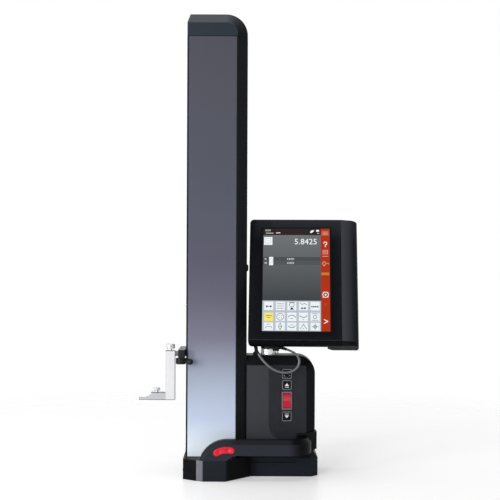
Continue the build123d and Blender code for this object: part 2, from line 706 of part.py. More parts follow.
def handle():
    root_angle = degrees(asin((BASE_TOP - ARCH_CENTRE[1]) / ARCH_RADIUS))
    crown = (ARCH_CENTRE[0], HANDLE_TOP)
    start = arch_point(180 - root_angle, ARCH_RADIUS)
    middle = arch_point(135 - root_angle / 2, ARCH_RADIUS)
    outer = ThreePointArc(start, middle, crown)
    rest = Polyline(crown, (BEND_X, HANDLE_TOP), (BEND_X, HANDLE_BOTTOM), (FOOT_RIGHT + 16, HANDLE_BOTTOM),
                    (FOOT_RIGHT, BASE_TOP), start)
    ys = (-FOOT_REACH, handle_back)
    bar = side_prism(make_face(outer + rest), ys)
    rim = [edge for edge in bar.faces().sort_by(Axis.Y)[0].edges()
           if edge.center().Z > HANDLE_BOTTOM + 6 and edge.center().X < BEND_X - 1]
    bar = chamfer(rim, HANDLE_BEVEL)
    near = -FOOT_REACH
    section = [(near, HANDLE_BOTTOM), (handle_back, HANDLE_BOTTOM), (handle_back, HANDLE_TOP),
               (near + HANDLE_BEVEL, HANDLE_TOP), (near, HANDLE_TOP - HANDLE_BEVEL)]
    bend_y = handle_back - HANDLE_DEPTH / 2 + BEND_RADIUS
    section_face = Plane.YZ * make_face(Polyline(*section, close=True))
    bend = revolve(Pos(BEND_X, 0, 0) * section_face, Axis((BEND_X, bend_y, 0), (0, 0, 1)), 90)
    tail = [(y - bend_y, z) for y, z in section]
    tail_face = make_face(Polyline(*[(BEND_X - y, z) for y, z in tail], close=True))
    bend += side_prism(tail_face, (bend_y, 0))
    flange = Pos((FLANGE_LEFT + HOUSING_RIGHT) / 2 + 10, (HANDLE_BOTTOM + FLANGE_TOP) / 2)
    flange = flange * RectangleRounded(HOUSING_RIGHT - FLANGE_LEFT + 20, FLANGE_TOP - HANDLE_BOTTOM, 8)
    plate = side_prism(flange, (-HOUSING_HALF - FLANGE_PLATE, 0))
    plate &= housing_form(-FLANGE_PLATE)
    grip = bar + bend + plate - housing_form(0)
    pocket = side_prism(arch_band(AIR_BUTTON_WIDTH + 2 * RUN_GAP), (-FOOT_REACH - 1, -FOOT_REACH + 12))
    return grip - pocket


def air_button():
    ys = (-FOOT_REACH - AIR_BUTTON_PROUD, -FOOT_REACH + 5.5)
    body = side_prism(arch_band(AIR_BUTTON_WIDTH), ys)
    front = body.faces().sort_by(Axis.Y)[0].edges()
    return chamfer(front, 0.8)


def air_button_switch():
    x, z = arch_point(sum(AIR_BUTTON_ANGLES) / 2, AIR_BUTTON_RADIUS)
    back = -FOOT_REACH + 12
    front = -FOOT_REACH + 5.5 + AIR_BUTTON_TRAVEL + RUN_GAP
    return block((x - 6, x + 6), (front, back), (z - 4, z + 4))


# ---- housing ------------------------------------------------------------------------------------
def housing_form(inset):
    return bevelled_form(
        (half_width + inset, HOUSING_RIGHT - inset), HOUSING_HALF - inset,
        (HOUSING_FLOOR + inset, HOUSING_TOP - inset), HOUSING_RADIUS - inset,
        HOUSING_BEVEL - inset * (2 - sqrt(2)))


def key_heights():
    return [("curve_button", CURVE_KEY_Z), ("up_button", UP_KEY_Z), ("down_button", DOWN_KEY_Z)]


def housing_screw_places():
    left = half_width + 12
    low = HOUSING_FLOOR + 12
    high = HOUSING_TOP - 28
    return [(left, low), (HOUSING_RIGHT - 26, low), (left, high), (HOUSING_RIGHT - 42, high)]


def column_screw_places():
    """Two columns of screws, counted down from the cap."""
    heights = [cap_bottom - COVER_SCREW_INSET - row * COVER_SCREW_PITCH for row in range(3)]
    return [(side * 24.0, z) for z in heights for side in (-1, 1)]


def board_posts():
    left = half_width + 12
    low = HOUSING_FLOOR + 54
    high = HOUSING_TOP - 20
    return [(left, low), (HOUSING_RIGHT - 18, low), (left, high), (HOUSING_RIGHT - 22, high - 6)]


def housing_wall(ys):
    """The part of the housing's wall between two limits on Y."""
    body = housing_form(0) - housing_form(SKIN)
    body -= rod_z(POST_X, 0, STUD_RADIUS + BORE_GAP, (HOUSING_TOP - SKIN - 1, HOUSING_TOP + 1))
    return body & block((half_width, HOUSING_RIGHT), ys, (HOUSING_FLOOR, HOUSING_TOP))


def housing_front_shell():
    body = housing_wall((-HOUSING_HALF, 0))
    wall = (-HOUSING_HALF - 1, -HOUSING_HALF + SKIN + 1)
    for _, z in key_heights():
        cut = KEY_SIZE / 2 + RUN_GAP
        body -= block((KEY_X - cut, KEY_X + cut), wall, (z - cut, z + cut))
    wide = ROCKER_SIZE[0] / 2 - 0.7
    tall = ROCKER_SIZE[1] / 2 - 0.9
    body -= block((KEY_X - wide, KEY_X + wide), wall, (ROCKER_Z - tall, ROCKER_Z + tall))
    for x, z in board_posts():
        body += rod_y(x, z, 4.0, (-HOUSING_HALF + SKIN - 0.5, board_y))
    return body


def housing_rear_shell():
    body = housing_wall((0, HOUSING_HALF))
    for x, z in housing_screw_places():
        body -= rod_y(x, z, SCREW_HEAD + 2 * BORE_GAP, (HOUSING_HALF - SCREW_DEPTH, HOUSING_HALF))
    return body - rod_y(inlet_x, INLET_Z, INLET_RADIUS, (HOUSING_HALF - SKIN - 1, HOUSING_HALF + 1))


def power_inlet():
    rim_back = HOUSING_HALF + INLET_RIM_PROUD
    body = rod_y(inlet_x, INLET_Z, INLET_RADIUS, (inlet_front, HOUSING_HALF))
    body += rod_y(inlet_x, INLET_Z, INLET_RADIUS + INLET_RIM, (HOUSING_HALF, rim_back))
    return body - rod_y(inlet_x, INLET_Z, INLET_BORE, (HOUSING_HALF - INLET_BORE_DEPTH, rim_back + 0.4))


def cover_screws():
    screws = []
    for x, z in housing_screw_places():
        screws.append(rod_y(x, z, SCREW_HEAD, (HOUSING_HALF - SCREW_DEPTH, HOUSING_HALF - 0.1)))
    for y, z in column_screw_places():
        screws.append(rod_x(y, z, SCREW_HEAD, (half_width - SCREW_DEPTH, half_width - 0.1)))
    return Compound(children=screws)


def battery_pack():
    right = pump_x - pump_radius - BATTERY_GAP
    back = HOUSING_HALF - SKIN - 6
    return block((inner_left + 3, right), (2, back), (inner_floor, inner_floor + BATTERY_HEIGHT))


def air_pump():
    shoulder = inner_floor + PUMP_HEIGHT * 0.7
    top = inner_floor + PUMP_HEIGHT
    body = rod_z(pump_x, pump_y, pump_radius, (inner_floor, shoulder))
    return body + rod_z(pump_x, pump_y, pump_radius - PUMP_STEP, (shoulder, top))


def control_board():
    return block((inner_left + 3, inner_right - 9), (board_y, board_back),
                 (HOUSING_FLOOR + BOARD_FOOT, HOUSING_TOP - BOARD_HEAD))


def key_switches():
    switches = []
    press = -HOUSING_HALF + KEY_BACK + KEY_TRAVEL + RUN_GAP
    for _, z in key_heights():
        xs = (KEY_X - SWITCH_HALF, KEY_X + SWITCH_HALF)
        switches.append(block(xs, (press, board_y), (z - SWITCH_HALF, z + SWITCH_HALF)))
    wide, tall = ROCKER_SWITCH
    rocker = -HOUSING_HALF + ROCKER_BACK
    zs = (ROCKER_Z - tall, ROCKER_Z + tall)
    switches.append(block((KEY_X - wide, KEY_X + wide), (rocker, board_y), zs))
    return Compound(children=switches)


def square_key(z):
    """Square key cap with a flange behind the panel."""
    half = KEY_SIZE / 2
    front = -HOUSING_HALF - KEY_PROUD
    cap = block((KEY_X - half, KEY_X + half), (front, -HOUSING_HALF + KEY_BACK), (z - half, z + half))
    cap = fillet(cap.edges().filter_by(Axis.Y), 1.5)
    cap = chamfer(cap.faces().sort_by(Axis.Y)[0].edges(), 0.5)
    rim = half + 1.2
    flange_ys = (-HOUSING_HALF + SKIN + RUN_GAP, -HOUSING_HALF + KEY_BACK)
    return cap + block((KEY_X - rim, KEY_X + rim), flange_ys, (z - rim, z + rim))


rocker_y = -HOUSING_HALF + 2.0


def rocker_frame():
    face = Pos(KEY_X, ROCKER_Z) * RectangleRounded(ROCKER_SIZE[0], ROCKER_SIZE[1], 2)
    neck = Pos(KEY_X, ROCKER_Z) * Rectangle(ROCKER_SIZE[0] - 1.5, ROCKER_SIZE[1] - 1.9)
    body = side_prism(face, (-HOUSING_HALF - 1.5, -HOUSING_HALF))
    body += side_prism(neck, (-HOUSING_HALF, -HOUSING_HALF + ROCKER_BACK))
    window = Pos(KEY_X, ROCKER_Z) * Rectangle(15.6, 29.4)
    body -= side_prism(window, (-HOUSING_HALF - 2, -HOUSING_HALF + ROCKER_BACK - 1.5))
    return body - rod_x(rocker_y, ROCKER_Z, 1.5 + BORE_GAP, (KEY_X - 9.2, KEY_X + 9.2))


def jog_rocker():
    front = rocker_y - 3.5
    outline = [
        (front, ROCKER_Z), (front - 2.2, ROCKER_Z + 13.4), (rocker_y + 2.5, ROCKER_Z + 12.6),
        (rocker_y + 4.5, ROCKER_Z), (rocker_y + 2.5, ROCKER_Z - 12.6), (front - 2.2, ROCKER_Z - 13.4),
    ]
    body = end_prism(make_face(Polyline(*outline, close=True)), (KEY_X - 7.4, KEY_X + 7.4))
    return body + rod_x(rocker_y, ROCKER_Z, 1.5, (KEY_X - 9.0, KEY_X + 9.0))


# ---- display mount ------------------------------------------------------------------------------
display_place = (Pos(POST_X, 0, 0) * Rot(0, 0, DISPLAY_YAW) * Pos(0, DISPLAY_FACE_Y, DISPLAY_FACE_Z)
                 * Rot(-DISPLAY_TILT, 0, 0))
swivel_place = Pos(POST_X, 0, 0) * Rot(0, 0, DISPLAY_YAW)
tilt_sin = sin(radians(DISPLAY_TILT))
tilt_cos = cos(radians(DISPLAY_TILT))
hinge_y = DISPLAY_FACE_Y + HINGE_HEIGHT * tilt_sin + HINGE_DEPTH * tilt_cos
hinge_z = DISPLAY_FACE_Z + HINGE_HEIGHT * tilt_cos - HINGE_DEPTH * tilt_sin
collar_top = HOUSING_TOP + COLLAR_HEIGHT


def pivot_post():
    collar = rod_z(POST_X, 0, COLLAR_RADIUS, (HOUSING_TOP, collar_top))
    collar = chamfer(collar.edges().group_by(Axis.Z)[-1], 0.8)
    body = collar + rod_z(POST_X, 0, NECK_RADIUS, (collar_top, NECK_TOP))
    return body + rod_z(POST_X, 0, STUD_RADIUS, (HOUSING_TOP - 12, HOUSING_TOP))


def swivel_stop_pin():
    return rod_z(POST_X + STOP_PIN_OFFSET, 0, STOP_PIN_RADIUS, (HOUSING_TOP, STOP_PIN_TOP))


def swivel_bracket():
    """Sleeve on the post with two ears that carry the tilt pin."""
    low = collar_top + RUN_GAP
    sleeve = rod_z(0, 0, COLLAR_RADIUS, (low, SLEEVE_TOP))
    ear_low = STOP_PIN_TOP + 2
    ear_outline = make_hull(
        (Pos(hinge_y, hinge_z) * Circle(EAR_RADIUS)).edges()
        + (Pos(0, (ear_low + SLEEVE_TOP) / 2) * Rectangle(24, SLEEVE_TOP - ear_low)).edges())
    body = sleeve
    for side in (-1, 1):
        inner = side * EAR_GAP
        outer = side * (EAR_GAP + EAR_THICK)
        body += end_prism(ear_outline, (min(inner, outer), max(inner, outer)))
    lug_angle = SWIVEL_REACH + degrees(asin((3.0 + STOP_PIN_RADIUS + 0.6) / STOP_PIN_OFFSET)) + DISPLAY_YAW
    lug = block((COLLAR_RADIUS - 2, COLLAR_RADIUS + 5), (-3, 3), (low + 1, STOP_PIN_TOP - 1))
    body += Rot(0, 0, -lug_angle) * lug
    body -= rod_z(0, 0, NECK_RADIUS + BORE_GAP, (low - 1, hinge_z + 20))
    body -= rod_x(hinge_y, hinge_z, TILT_PIN_RADIUS, (-EAR_GAP - EAR_THICK, EAR_GAP + EAR_THICK))
    return swivel_place * body


def tilt_pin():
    reach = EAR_GAP + EAR_THICK
    body = rod_x(hinge_y, hinge_z, TILT_PIN_RADIUS, (-reach, reach))
    for side in (-1, 1):
        body += rod_x(hinge_y, hinge_z, TILT_PIN_RADIUS + 2.5, (side * reach, side * (reach + 3)))
    return swivel_place * body


def tilt_lugs():
    """Plate on the display's back with the knuckle that turns on the tilt pin."""
    body = block((-30, 30), (DISPLAY_THICK, DISPLAY_THICK + LUG_PLATE),
                 (HINGE_HEIGHT - 20, HINGE_HEIGHT + 20))
    body = fillet(body.edges().filter_by(Axis.Y), 5)
    wide = EAR_GAP - RUN_GAP
    body += block((-wide, wide), (DISPLAY_THICK + LUG_PLATE, HINGE_DEPTH),
                  (HINGE_HEIGHT - KNUCKLE_RADIUS, HINGE_HEIGHT + KNUCKLE_RADIUS))
    body += rod_x(HINGE_DEPTH, HINGE_HEIGHT, KNUCKLE_RADIUS, (-wide, wide))
    body -= rod_x(HINGE_DEPTH, HINGE_HEIGHT, TILT_PIN_RADIUS + BORE_GAP, (-wide, wide))
    return display_place * body


# ---- display ------------------------------------------------------------------------------------
def display_form():
    """Whole display body: a bevelled slab with a deep rounded grip along its right-hand side."""
    left = DISPLAY_LEFT
    right = DISPLAY_RIGHT
    thin = DISPLAY_THICK - REAR_BEVEL
    tilt = radians(GRIP_SLOPE)
    facet_end = (BEZEL_RIGHT + GRIP_FACET, GRIP_FACET * tan(tilt))
    curve = (right - facet_end[0]) / (1 - sin(tilt))
    outline = (
        Line((left, 0), (BEZEL_RIGHT, 0))
        + Line((BEZEL_RIGHT, 0), facet_end)
        + JernArc(facet_end, (cos(tilt), sin(tilt)), curve, 90 - GRIP_SLOPE)
        + Line((right, facet_end[1] + curve * cos(tilt)), (right, GRIP_DEPTH - 22))
        + ThreePointArc((right, GRIP_DEPTH - 22), (right - 6.4, GRIP_DEPTH - 6.4), (right - 22, GRIP_DEPTH))
        + Polyline((right - 22, GRIP_DEPTH), (GRIP_INNER + 20, GRIP_DEPTH), (GRIP_INNER, DISPLAY_THICK),
                   (left + REAR_BEVEL, DISPLAY_THICK), (left, thin), (left, 0))
    )
    height = DISPLAY_TOP - DISPLAY_BOTTOM
    body = Pos(0, 0, DISPLAY_BOTTOM) * extrude(make_face(outline), height)
    slope = FRONT_BEVEL
    front_cut = [(-1, DISPLAY_BOTTOM - 1), (-1, DISPLAY_BOTTOM + slope + 1), (slope + 1, DISPLAY_BOTTOM - 1)]
    rear = DISPLAY_THICK + 40
    rear_low = [(thin, DISPLAY_BOTTOM), (thin - 2, DISPLAY_BOTTOM - 2), (rear, DISPLAY_BOTTOM - 2),
                (rear, DISPLAY_BOTTOM + rear - thin)]
    rear_high = [(thin, DISPLAY_TOP), (thin - 2, DISPLAY_TOP + 2), (rear, DISPLAY_TOP + 2),
                 (rear, DISPLAY_TOP - rear + thin)]
    slab = (left - 1, GRIP_INNER)
    full = (left - 1, right + 1)
    body -= end_prism(make_face(Polyline(*front_cut, close=True)), full)
    body -= end_prism(make_face(Polyline(*rear_low, close=True)), slab)
    body -= end_prism(make_face(Polyline(*rear_high, close=True)), slab)
    grip = (GRIP_INNER, right + 1)
    deep = GRIP_DEPTH - REAR_BEVEL + 3
    grip_low = [(deep, DISPLAY_BOTTOM), (deep, DISPLAY_BOTTOM - 2), (GRIP_DEPTH + 2, DISPLAY_BOTTOM - 2),
                (GRIP_DEPTH + 2, DISPLAY_BOTTOM + GRIP_DEPTH + 2 - deep)]
    grip_high = [(deep, DISPLAY_TOP), (deep, DISPLAY_TOP + 2), (GRIP_DEPTH + 2, DISPLAY_TOP + 2),
                 (GRIP_DEPTH + 2, DISPLAY_TOP - GRIP_DEPTH - 2 + deep)]
    body -= end_prism(make_face(Polyline(*grip_low, close=True)), grip)
    body -= end_prism(make_face(Polyline(*grip_high, close=True)), grip)
    corners = [edge for edge in body.edges().filter_by(Axis.Y) if edge.center().X < left + 0.5]
    return fillet(corners, DISPLAY_CORNER)


def bezel_space():
    return block((DISPLAY_LEFT - 1, BEZEL_RIGHT), (-1, BEZEL_THICK), (DISPLAY_BOTTOM - 1, DISPLAY_TOP + 1))


def display_front_bezel(form):
    gap = 0.15
    window = block((SCREEN_X[0] - gap, SCREEN_X[1] + gap), (-1, BEZEL_THICK + 1),
                   (SCREEN_Z[0] - gap, SCREEN_Z[1] + gap))
    return display_place * ((form & bezel_space()) - window)


def display_rear_shell(form):
    body = form - bezel_space()
    floor = DISPLAY_THICK - SKIN
    low = DISPLAY_BOTTOM + SKIN + 3
    high = DISPLAY_TOP - SKIN - 3
    thin = DISPLAY_THICK - REAR_BEVEL
    cavity = block((DISPLAY_LEFT + SKIN, BEZEL_RIGHT - SKIN), (BEZEL_THICK, thin), (low, high))
    inset = REAR_BEVEL + 1
    cavity += block((DISPLAY_LEFT + inset, BEZEL_RIGHT - SKIN), (BEZEL_THICK, floor),
                    (low + inset - 3, high - inset + 3))
    cavity += block((BEZEL_RIGHT - SKIN - 1, DISPLAY_RIGHT - 12), (BEZEL_THICK + 3, GRIP_DEPTH - 16),
                    (low + inset, high - inset))
    return display_place * (body - cavity)


def touch_screen():
    return display_place * block(SCREEN_X, (SCREEN_SUNK, BEZEL_THICK), SCREEN_Z)


def display_board():
    ys = (BEZEL_THICK, BEZEL_THICK + 2)
    return display_place * block((SCREEN_X[0] - 6, SCREEN_X[1] + 6), ys, (SCREEN_Z[0] - 6, SCREEN_Z[1] - 10))


# ---- display cable ------------------------------------------------------------------------------
def route_radii(points):
    radii = []
    for before, here, after in zip(points, points[1:], points[2:]):
        run_in = Vector(*here) - Vector(*before)
        run_out = Vector(*after) - Vector(*here)
        half_turn = radians(run_in.get_angle(run_out)) / 2
        radii.append(0.45 * min(run_in.length, run_out.length) / tan(half_turn))
    return radii


def cable_tube(points, radii):
    path = FilletPolyline(*points, radius=radii)
    start = Plane(origin=path @ 0, z_dir=path % 0)
    section = RegularPolygon(CABLE_RADIUS, CABLE_SIDES)
    tube = sweep(start * section, path=path)
    print("cable length", round(path.length, 1), "radii", [round(radius, 1) for radius in radii])
    print("cable volume over section times length",
          round(tube.volume / (section.area * path.length), 4))
    return tube


cable_route = LOWER_ROUTE + UPPER_ROUTE
cable_middle = (Vector(*LOWER_ROUTE[-1]) + Vector(*UPPER_ROUTE[0])) * 0.5


def display_cable_lower():
    return cable_tube([*LOWER_ROUTE, cable_middle], route_radii(cable_route)[:len(LOWER_ROUTE) - 1])


def display_cable_upper():
    return cable_tube([cable_middle, *UPPER_ROUTE], route_radii(cable_route)[len(LOWER_ROUTE) - 1:])


def strain_relief(length, radii):
    """Tapered sleeve standing on the XY plane."""
    foot = RegularPolygon(radii[0], RELIEF_SIDES)
    tip = Pos(0, 0, length) * RegularPolygon(radii[1], RELIEF_SIDES)
    return loft([foot, tip])


def housing_plug():
    nut_top = HOUSING_TOP + PLUG_NUT_HEIGHT
    body = rod_z(PLUG_X, PLUG_Y, PLUG_NUT_RADIUS, (HOUSING_TOP, nut_top))
    return body + Pos(PLUG_X, PLUG_Y, nut_top) * strain_relief(PLUG_TOP - nut_top, RELIEF_RADII)


cable_end = Vector(*cable_route[-1])
cable_way = (Vector(*cable_route[-2]) - cable_end).normalized()
boot_root = cable_end - cable_way * BOOT_LENGTH


def display_boot():
    """Tapered strain relief between the plug and the cable."""
    sleeve = Plane(origin=boot_root, z_dir=cable_way) * strain_relief(BOOT_LENGTH, RELIEF_RADII)
    return sleeve - display_plug()


def display_plug():
    """Right-angled plug under the bevel at the foot of the display's back."""
    half = PLUG_HEAD / 2
    seat_z = DISPLAY_BOTTOM + REAR_BEVEL / 2
    seat_y = DISPLAY_THICK - REAR_BEVEL / 2
    local_end = display_place.inverse() * Pos(*boot_root)
    head = Pos(0, 0, -half) * Box(PLUG_HEAD, PLUG_HEAD - 1, PLUG_HEAD)
    head = Pos(local_end.position.X - half + 1.2, seat_y, seat_z) * Rot(45, 0, 0) * head
    return display_place * head


# ---- build --------------------------------------------------------------------------------------
def main():
    form = display_form()
    nodes = {
        "base_casting": base_casting(),
        "air_pads": air_pads(),
        "column_spine": column_spine(),
        "column_rear_cover": column_rear_cover(),
        "near_side_panel": side_panel(-1),
        "far_side_panel": side_panel(1),
        "front_trims": front_trims(),
        "top_cap": top_cap(),
        "guide_rail": guide_rail(),
        "rail_screws": rail_screws(),
        "glass_scale": glass_scale(),
        "motor_plate": motor_plate(),
        "drive_motor": drive_motor(),
        "drive_pulley": drive_pulley(),
        "idler_bracket": idler_bracket(),
        "idler_axle": idler_axle(),
        "idler_pulley": idler_pulley(),
        "drive_belt": drive_belt(),
        "counterweight": counterweight(),
        "carriage_plate": carriage_plate(),
        "rail_bearing": rail_bearing(),
        "read_head": read_head(),
        "belt_clamp": belt_clamp(),
        "probe_arm": probe_arm(),
        "probe_rod": probe_rod(),
        "clamp_lever": clamp_lever(),
        "stylus_holder": stylus_holder(),
        "holder_screw": holder_screw(),
        "stylus_screw": stylus_screw(),
        "stylus": stylus(),
        "handle": handle(),
        "air_button": air_button(),
        "air_button_switch": air_button_switch(),
        "housing_front_shell": housing_front_shell(),
        "housing_rear_shell": housing_rear_shell(),
        "cover_screws": cover_screws(),
        "power_inlet": power_inlet(),
        "battery_pack": battery_pack(),
        "air_pump": air_pump(),
        "control_board": control_board(),
        "key_switches": key_switches(),
        "rocker_frame": rocker_frame(),
        "jog_rocker": jog_rocker(),
        "pivot_post": pivot_post(),
        "swivel_stop_pin": swivel_stop_pin(),
        "swivel_bracket": swivel_bracket(),
        "tilt_pin": tilt_pin(),
        "tilt_lugs": tilt_lugs(),
        "display_front_bezel": display_front_bezel(form),
        "display_rear_shell": display_rear_shell(form),
        "touch_screen": touch_screen(),
        "display_board": display_board(),
        "display_cable_lower": display_cable_lower(),
        "display_cable_upper": display_cable_upper(),
        "housing_plug": housing_plug(),
        "display_boot": display_boot(),
        "display_plug": display_plug(),
    }
    for name, z in key_heights():
        nodes[name] = square_key(z)
    for node, shape in nodes.items():
        save(node, shape)


main()
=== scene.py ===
"""Finishes, light and camera for the column height gauge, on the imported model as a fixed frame."""

import json
from math import atan2, cos, pi, radians, sin

import bmesh
import bpy
from mathutils import Matrix, Vector


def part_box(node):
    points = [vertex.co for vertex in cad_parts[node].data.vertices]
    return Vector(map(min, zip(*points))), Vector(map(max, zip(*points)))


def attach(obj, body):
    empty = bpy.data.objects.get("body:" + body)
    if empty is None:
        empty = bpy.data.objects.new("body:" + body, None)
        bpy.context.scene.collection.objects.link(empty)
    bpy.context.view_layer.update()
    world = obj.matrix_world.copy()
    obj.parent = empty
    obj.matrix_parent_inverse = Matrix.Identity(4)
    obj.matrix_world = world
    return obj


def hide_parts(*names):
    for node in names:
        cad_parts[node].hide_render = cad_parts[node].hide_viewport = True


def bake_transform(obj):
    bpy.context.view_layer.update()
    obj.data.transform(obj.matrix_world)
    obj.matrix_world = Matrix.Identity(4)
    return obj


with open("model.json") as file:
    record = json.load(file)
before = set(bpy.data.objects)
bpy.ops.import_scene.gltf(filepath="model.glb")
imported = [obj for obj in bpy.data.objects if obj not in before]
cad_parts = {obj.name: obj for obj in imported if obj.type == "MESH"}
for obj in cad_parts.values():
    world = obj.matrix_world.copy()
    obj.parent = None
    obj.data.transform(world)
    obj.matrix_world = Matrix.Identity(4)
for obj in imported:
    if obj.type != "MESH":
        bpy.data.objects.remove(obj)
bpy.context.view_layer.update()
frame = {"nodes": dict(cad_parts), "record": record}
scene = bpy.context.scene
MM = 0.001
DISPLAY_ORIGIN = Vector((0.1048, -0.079, 0.2892))   # on the display's face, ahead of its post, in metres
DISPLAY_YAW = radians(2.5)
DISPLAY_LEAN = radians(19.5)
PROBE_Y = -61.0
LEVER_X = -69.5
SCREEN_GLOW = 0.62


# ---- camera -------------------------------------------------------------------------------------
def camera():
    lens = bpy.data.cameras.new("camera")
    lens.lens = 72.7
    lens.sensor_width = 36
    lens.clip_start = 0.05
    obj = bpy.data.objects.new("camera", lens)
    obj.location = (0.066, -2.058, 0.450)
    obj.rotation_euler = (radians(90), radians(-0.24), 0)
    scene.collection.objects.link(obj)
    scene.camera = obj


camera()


# ---- shader building ----------------------------------------------------------------------------
def srgb(red, green, blue):
    """Linear colour of an 8-bit sRGB value."""
    def linear(value):
        value /= 255
        return value / 12.92 if value <= 0.04045 else ((value + 0.055) / 1.055) ** 2.4
    return (linear(red), linear(green), linear(blue), 1)


def scaled(colour, factor):
    return tuple(min(1, part * factor) for part in colour[:3]) + (1,)


class Wire:
    """A socket that takes arithmetic."""

    def __init__(self, finish, socket):
        self.finish = finish
        self.socket = socket

    def math(self, operation, *values, clamp=False):
        settings = {"operation": operation, "use_clamp": clamp}
        return self.finish.node("ShaderNodeMath", settings, dict(enumerate(values)))

    def __add__(self, other):
        return self.math("ADD", self, other)

    __radd__ = __add__

    def __sub__(self, other):
        return self.math("SUBTRACT", self, other)

    def __rsub__(self, other):
        return self.math("SUBTRACT", other, self)

    def __mul__(self, other):
        return self.math("MULTIPLY", self, other)

    __rmul__ = __mul__

    def __truediv__(self, other):
        return self.math("DIVIDE", self, other)

    def clamped(self):
        return self.math("ADD", self, 0.0, clamp=True)


class Finish:
    """A material in the making."""

    def __init__(self, name, **constants):
        self.material = bpy.data.materials.new(name)
        self.material.use_nodes = True
        self.tree = self.material.node_tree
        self.shader = self.tree.nodes["Principled BSDF"]
        for socket, value in constants.items():
            self.shader.inputs[socket.replace("_", " ")].default_value = value
        self.place = self.node("ShaderNodeTexCoord", out="Object")

    def node(self, kind, settings=None, inputs=None, out=0):
        made = self.tree.nodes.new(kind)
        for name, value in (settings or {}).items():
            setattr(made, name, value)
        for name, value in (inputs or {}).items():
            if isinstance(value, Wire):
                self.tree.links.new(value.socket, made.inputs[name])
            else:
                made.inputs[name].default_value = value
        return Wire(self, made.outputs[out])

    def into(self, socket, wire):
        self.tree.links.new(wire.socket, self.shader.inputs[socket])

    def noise(self, size, detail=2.0, roughness=0.5, stretch=(1, 1, 1)):
        """Noise with features of about that size in metres, from 0 to 1."""
        scale = tuple(1 / part for part in stretch)
        place = self.node("ShaderNodeMapping", None, {"Vector": self.place, "Scale": scale})
        inputs = {"Vector": place, "Scale": 1 / size, "Detail": detail, "Roughness": roughness}
        return self.node("ShaderNodeTexNoise", {"normalize": True}, inputs)

    def axis(self, name):
        return self.node("ShaderNodeSeparateXYZ", None, {0: self.place}, out=name)

    def blend(self, factor, first, second):
        return self.node("ShaderNodeMix", {"data_type": "RGBA"}, {0: factor, 6: first, 7: second}, out=2)

    def bump(self, height, depth, strength=1.0):
        inputs = {"Height": height, "Distance": depth, "Strength": strength}
        self.into("Normal", self.node("ShaderNodeBump", None, inputs))

    def rubbed_corner_glint(self, amount=0.5):
        """Where a corner is rubbed a little brighter, which also serves as a painted highlight along edges,
        from 0 to amount.
        """
        point = self.node("ShaderNodeNewGeometry", out="Pointiness")
        # lighter convex corners: rubbed paint and a painted edge highlight together
        rub_glint_mask = ((point - 0.515) * 14).clamped()
        return rub_glint_mask * self.noise(0.006) * amount


def coated(name, colour, rough, grain, depth, spread=0.16, coat=0.0, specular=0.3, rub_and_glint=0.25):
    """Paint or moulded plastic: fine grain, a slow drift of tone and slightly rubbed corners that also carry a
    painted edge highlight.
    """
    finish = Finish(name, IOR=1.45, Specular_IOR_Level=specular, Coat_Roughness=0.18)
    drift = finish.noise(0.09, 3)
    tone = finish.blend(drift, scaled(colour, 1 - spread), scaled(colour, 1 + spread))
    # corners lightened as rubbed paint and as a painted edge highlight
    finish.into("Base Color", finish.blend(finish.rubbed_corner_glint(rub_and_glint), tone, scaled(colour, 2.6)))
    speck = finish.noise(grain, 2)
    finish.into("Roughness", (rough - 0.07) + finish.noise(0.03) * 0.08 + speck * 0.06)
    finish.shader.inputs["Coat Weight"].default_value = coat
    finish.bump(speck + finish.noise(grain * 3.1) * 0.6, depth)
    return finish.material


def metal(name, colour, rough, stretch=(1, 1, 1), depth=0.00002, spread=0.1, grain=0.0006, share=1.0):
    """Machined or polished metal with its grain drawn out one way."""
    finish = Finish(name, Metallic=share)
    line = finish.noise(grain, 3, 0.6, stretch)
    drift = finish.noise(0.05, 2)
    tone = finish.blend(drift, scaled(colour, 1 - spread), scaled(colour, 1 + spread))
    finish.into("Base Color", finish.blend(line * 0.5, tone, scaled(colour, 1 - 1.5 * spread)))
    finish.into("Roughness", rough - 0.05 + line * 0.12 + drift * 0.05)
    finish.bump(line, depth)
    return finish.material


def cast_black():
    """Satin black of the cast base, with painted shade on its angled side faces and a painted highlight on a
    narrow facet of each foot.
    """
    finish = Finish("cast_black", IOR=1.45, Specular_IOR_Level=0.05, Coat_Roughness=0.1)
    across, back = finish.axis("X"), finish.axis("Y")
    tone = finish.blend(finish.noise(0.09, 3), srgb(22, 26, 31), srgb(29, 34, 40))
    slant_end, facet_end, facet_reach = -0.0372, -0.0246, 0.0895
    diagonal_start, diagonal_end = 0.0206, 0.066
    # painted shade: the angled face running back from the foot to the stem, and the foot's left faces, made
    # near black
    stem_face_shade = ((across - diagonal_start) / 0.004).clamped() * (1 - ((across - diagonal_end) / 0.02).clamped())
    left_face_shade = ((slant_end - across) / 0.0006).clamped()
    tone = finish.blend((stem_face_shade + left_face_shade).clamped(), tone, srgb(4, 4, 6))
    # painted highlight: the narrow facet at each foot's corner made pale, with a little coat there
    facet = ((across - slant_end) / 0.0006).clamped() * (1 - ((across - facet_end) / 0.0006).clamped())
    facet = facet * ((back.math("ABSOLUTE", back) - facet_reach) / 0.001).clamped()
    tone = finish.blend(facet, tone, srgb(106, 109, 115))
    # corners lightened as rubbed paint and as a painted edge highlight
    finish.into("Base Color", finish.blend(finish.rubbed_corner_glint(0.15), tone, srgb(70, 73, 78)))
    speck = finish.noise(0.0011, 2)
    finish.into("Roughness", 0.3 + finish.noise(0.03) * 0.08 + speck * 0.06)
    finish.into("Coat Weight", facet * 0.3)
    finish.bump(speck + finish.noise(0.0034) * 0.6, 0.00003)
    return finish.material


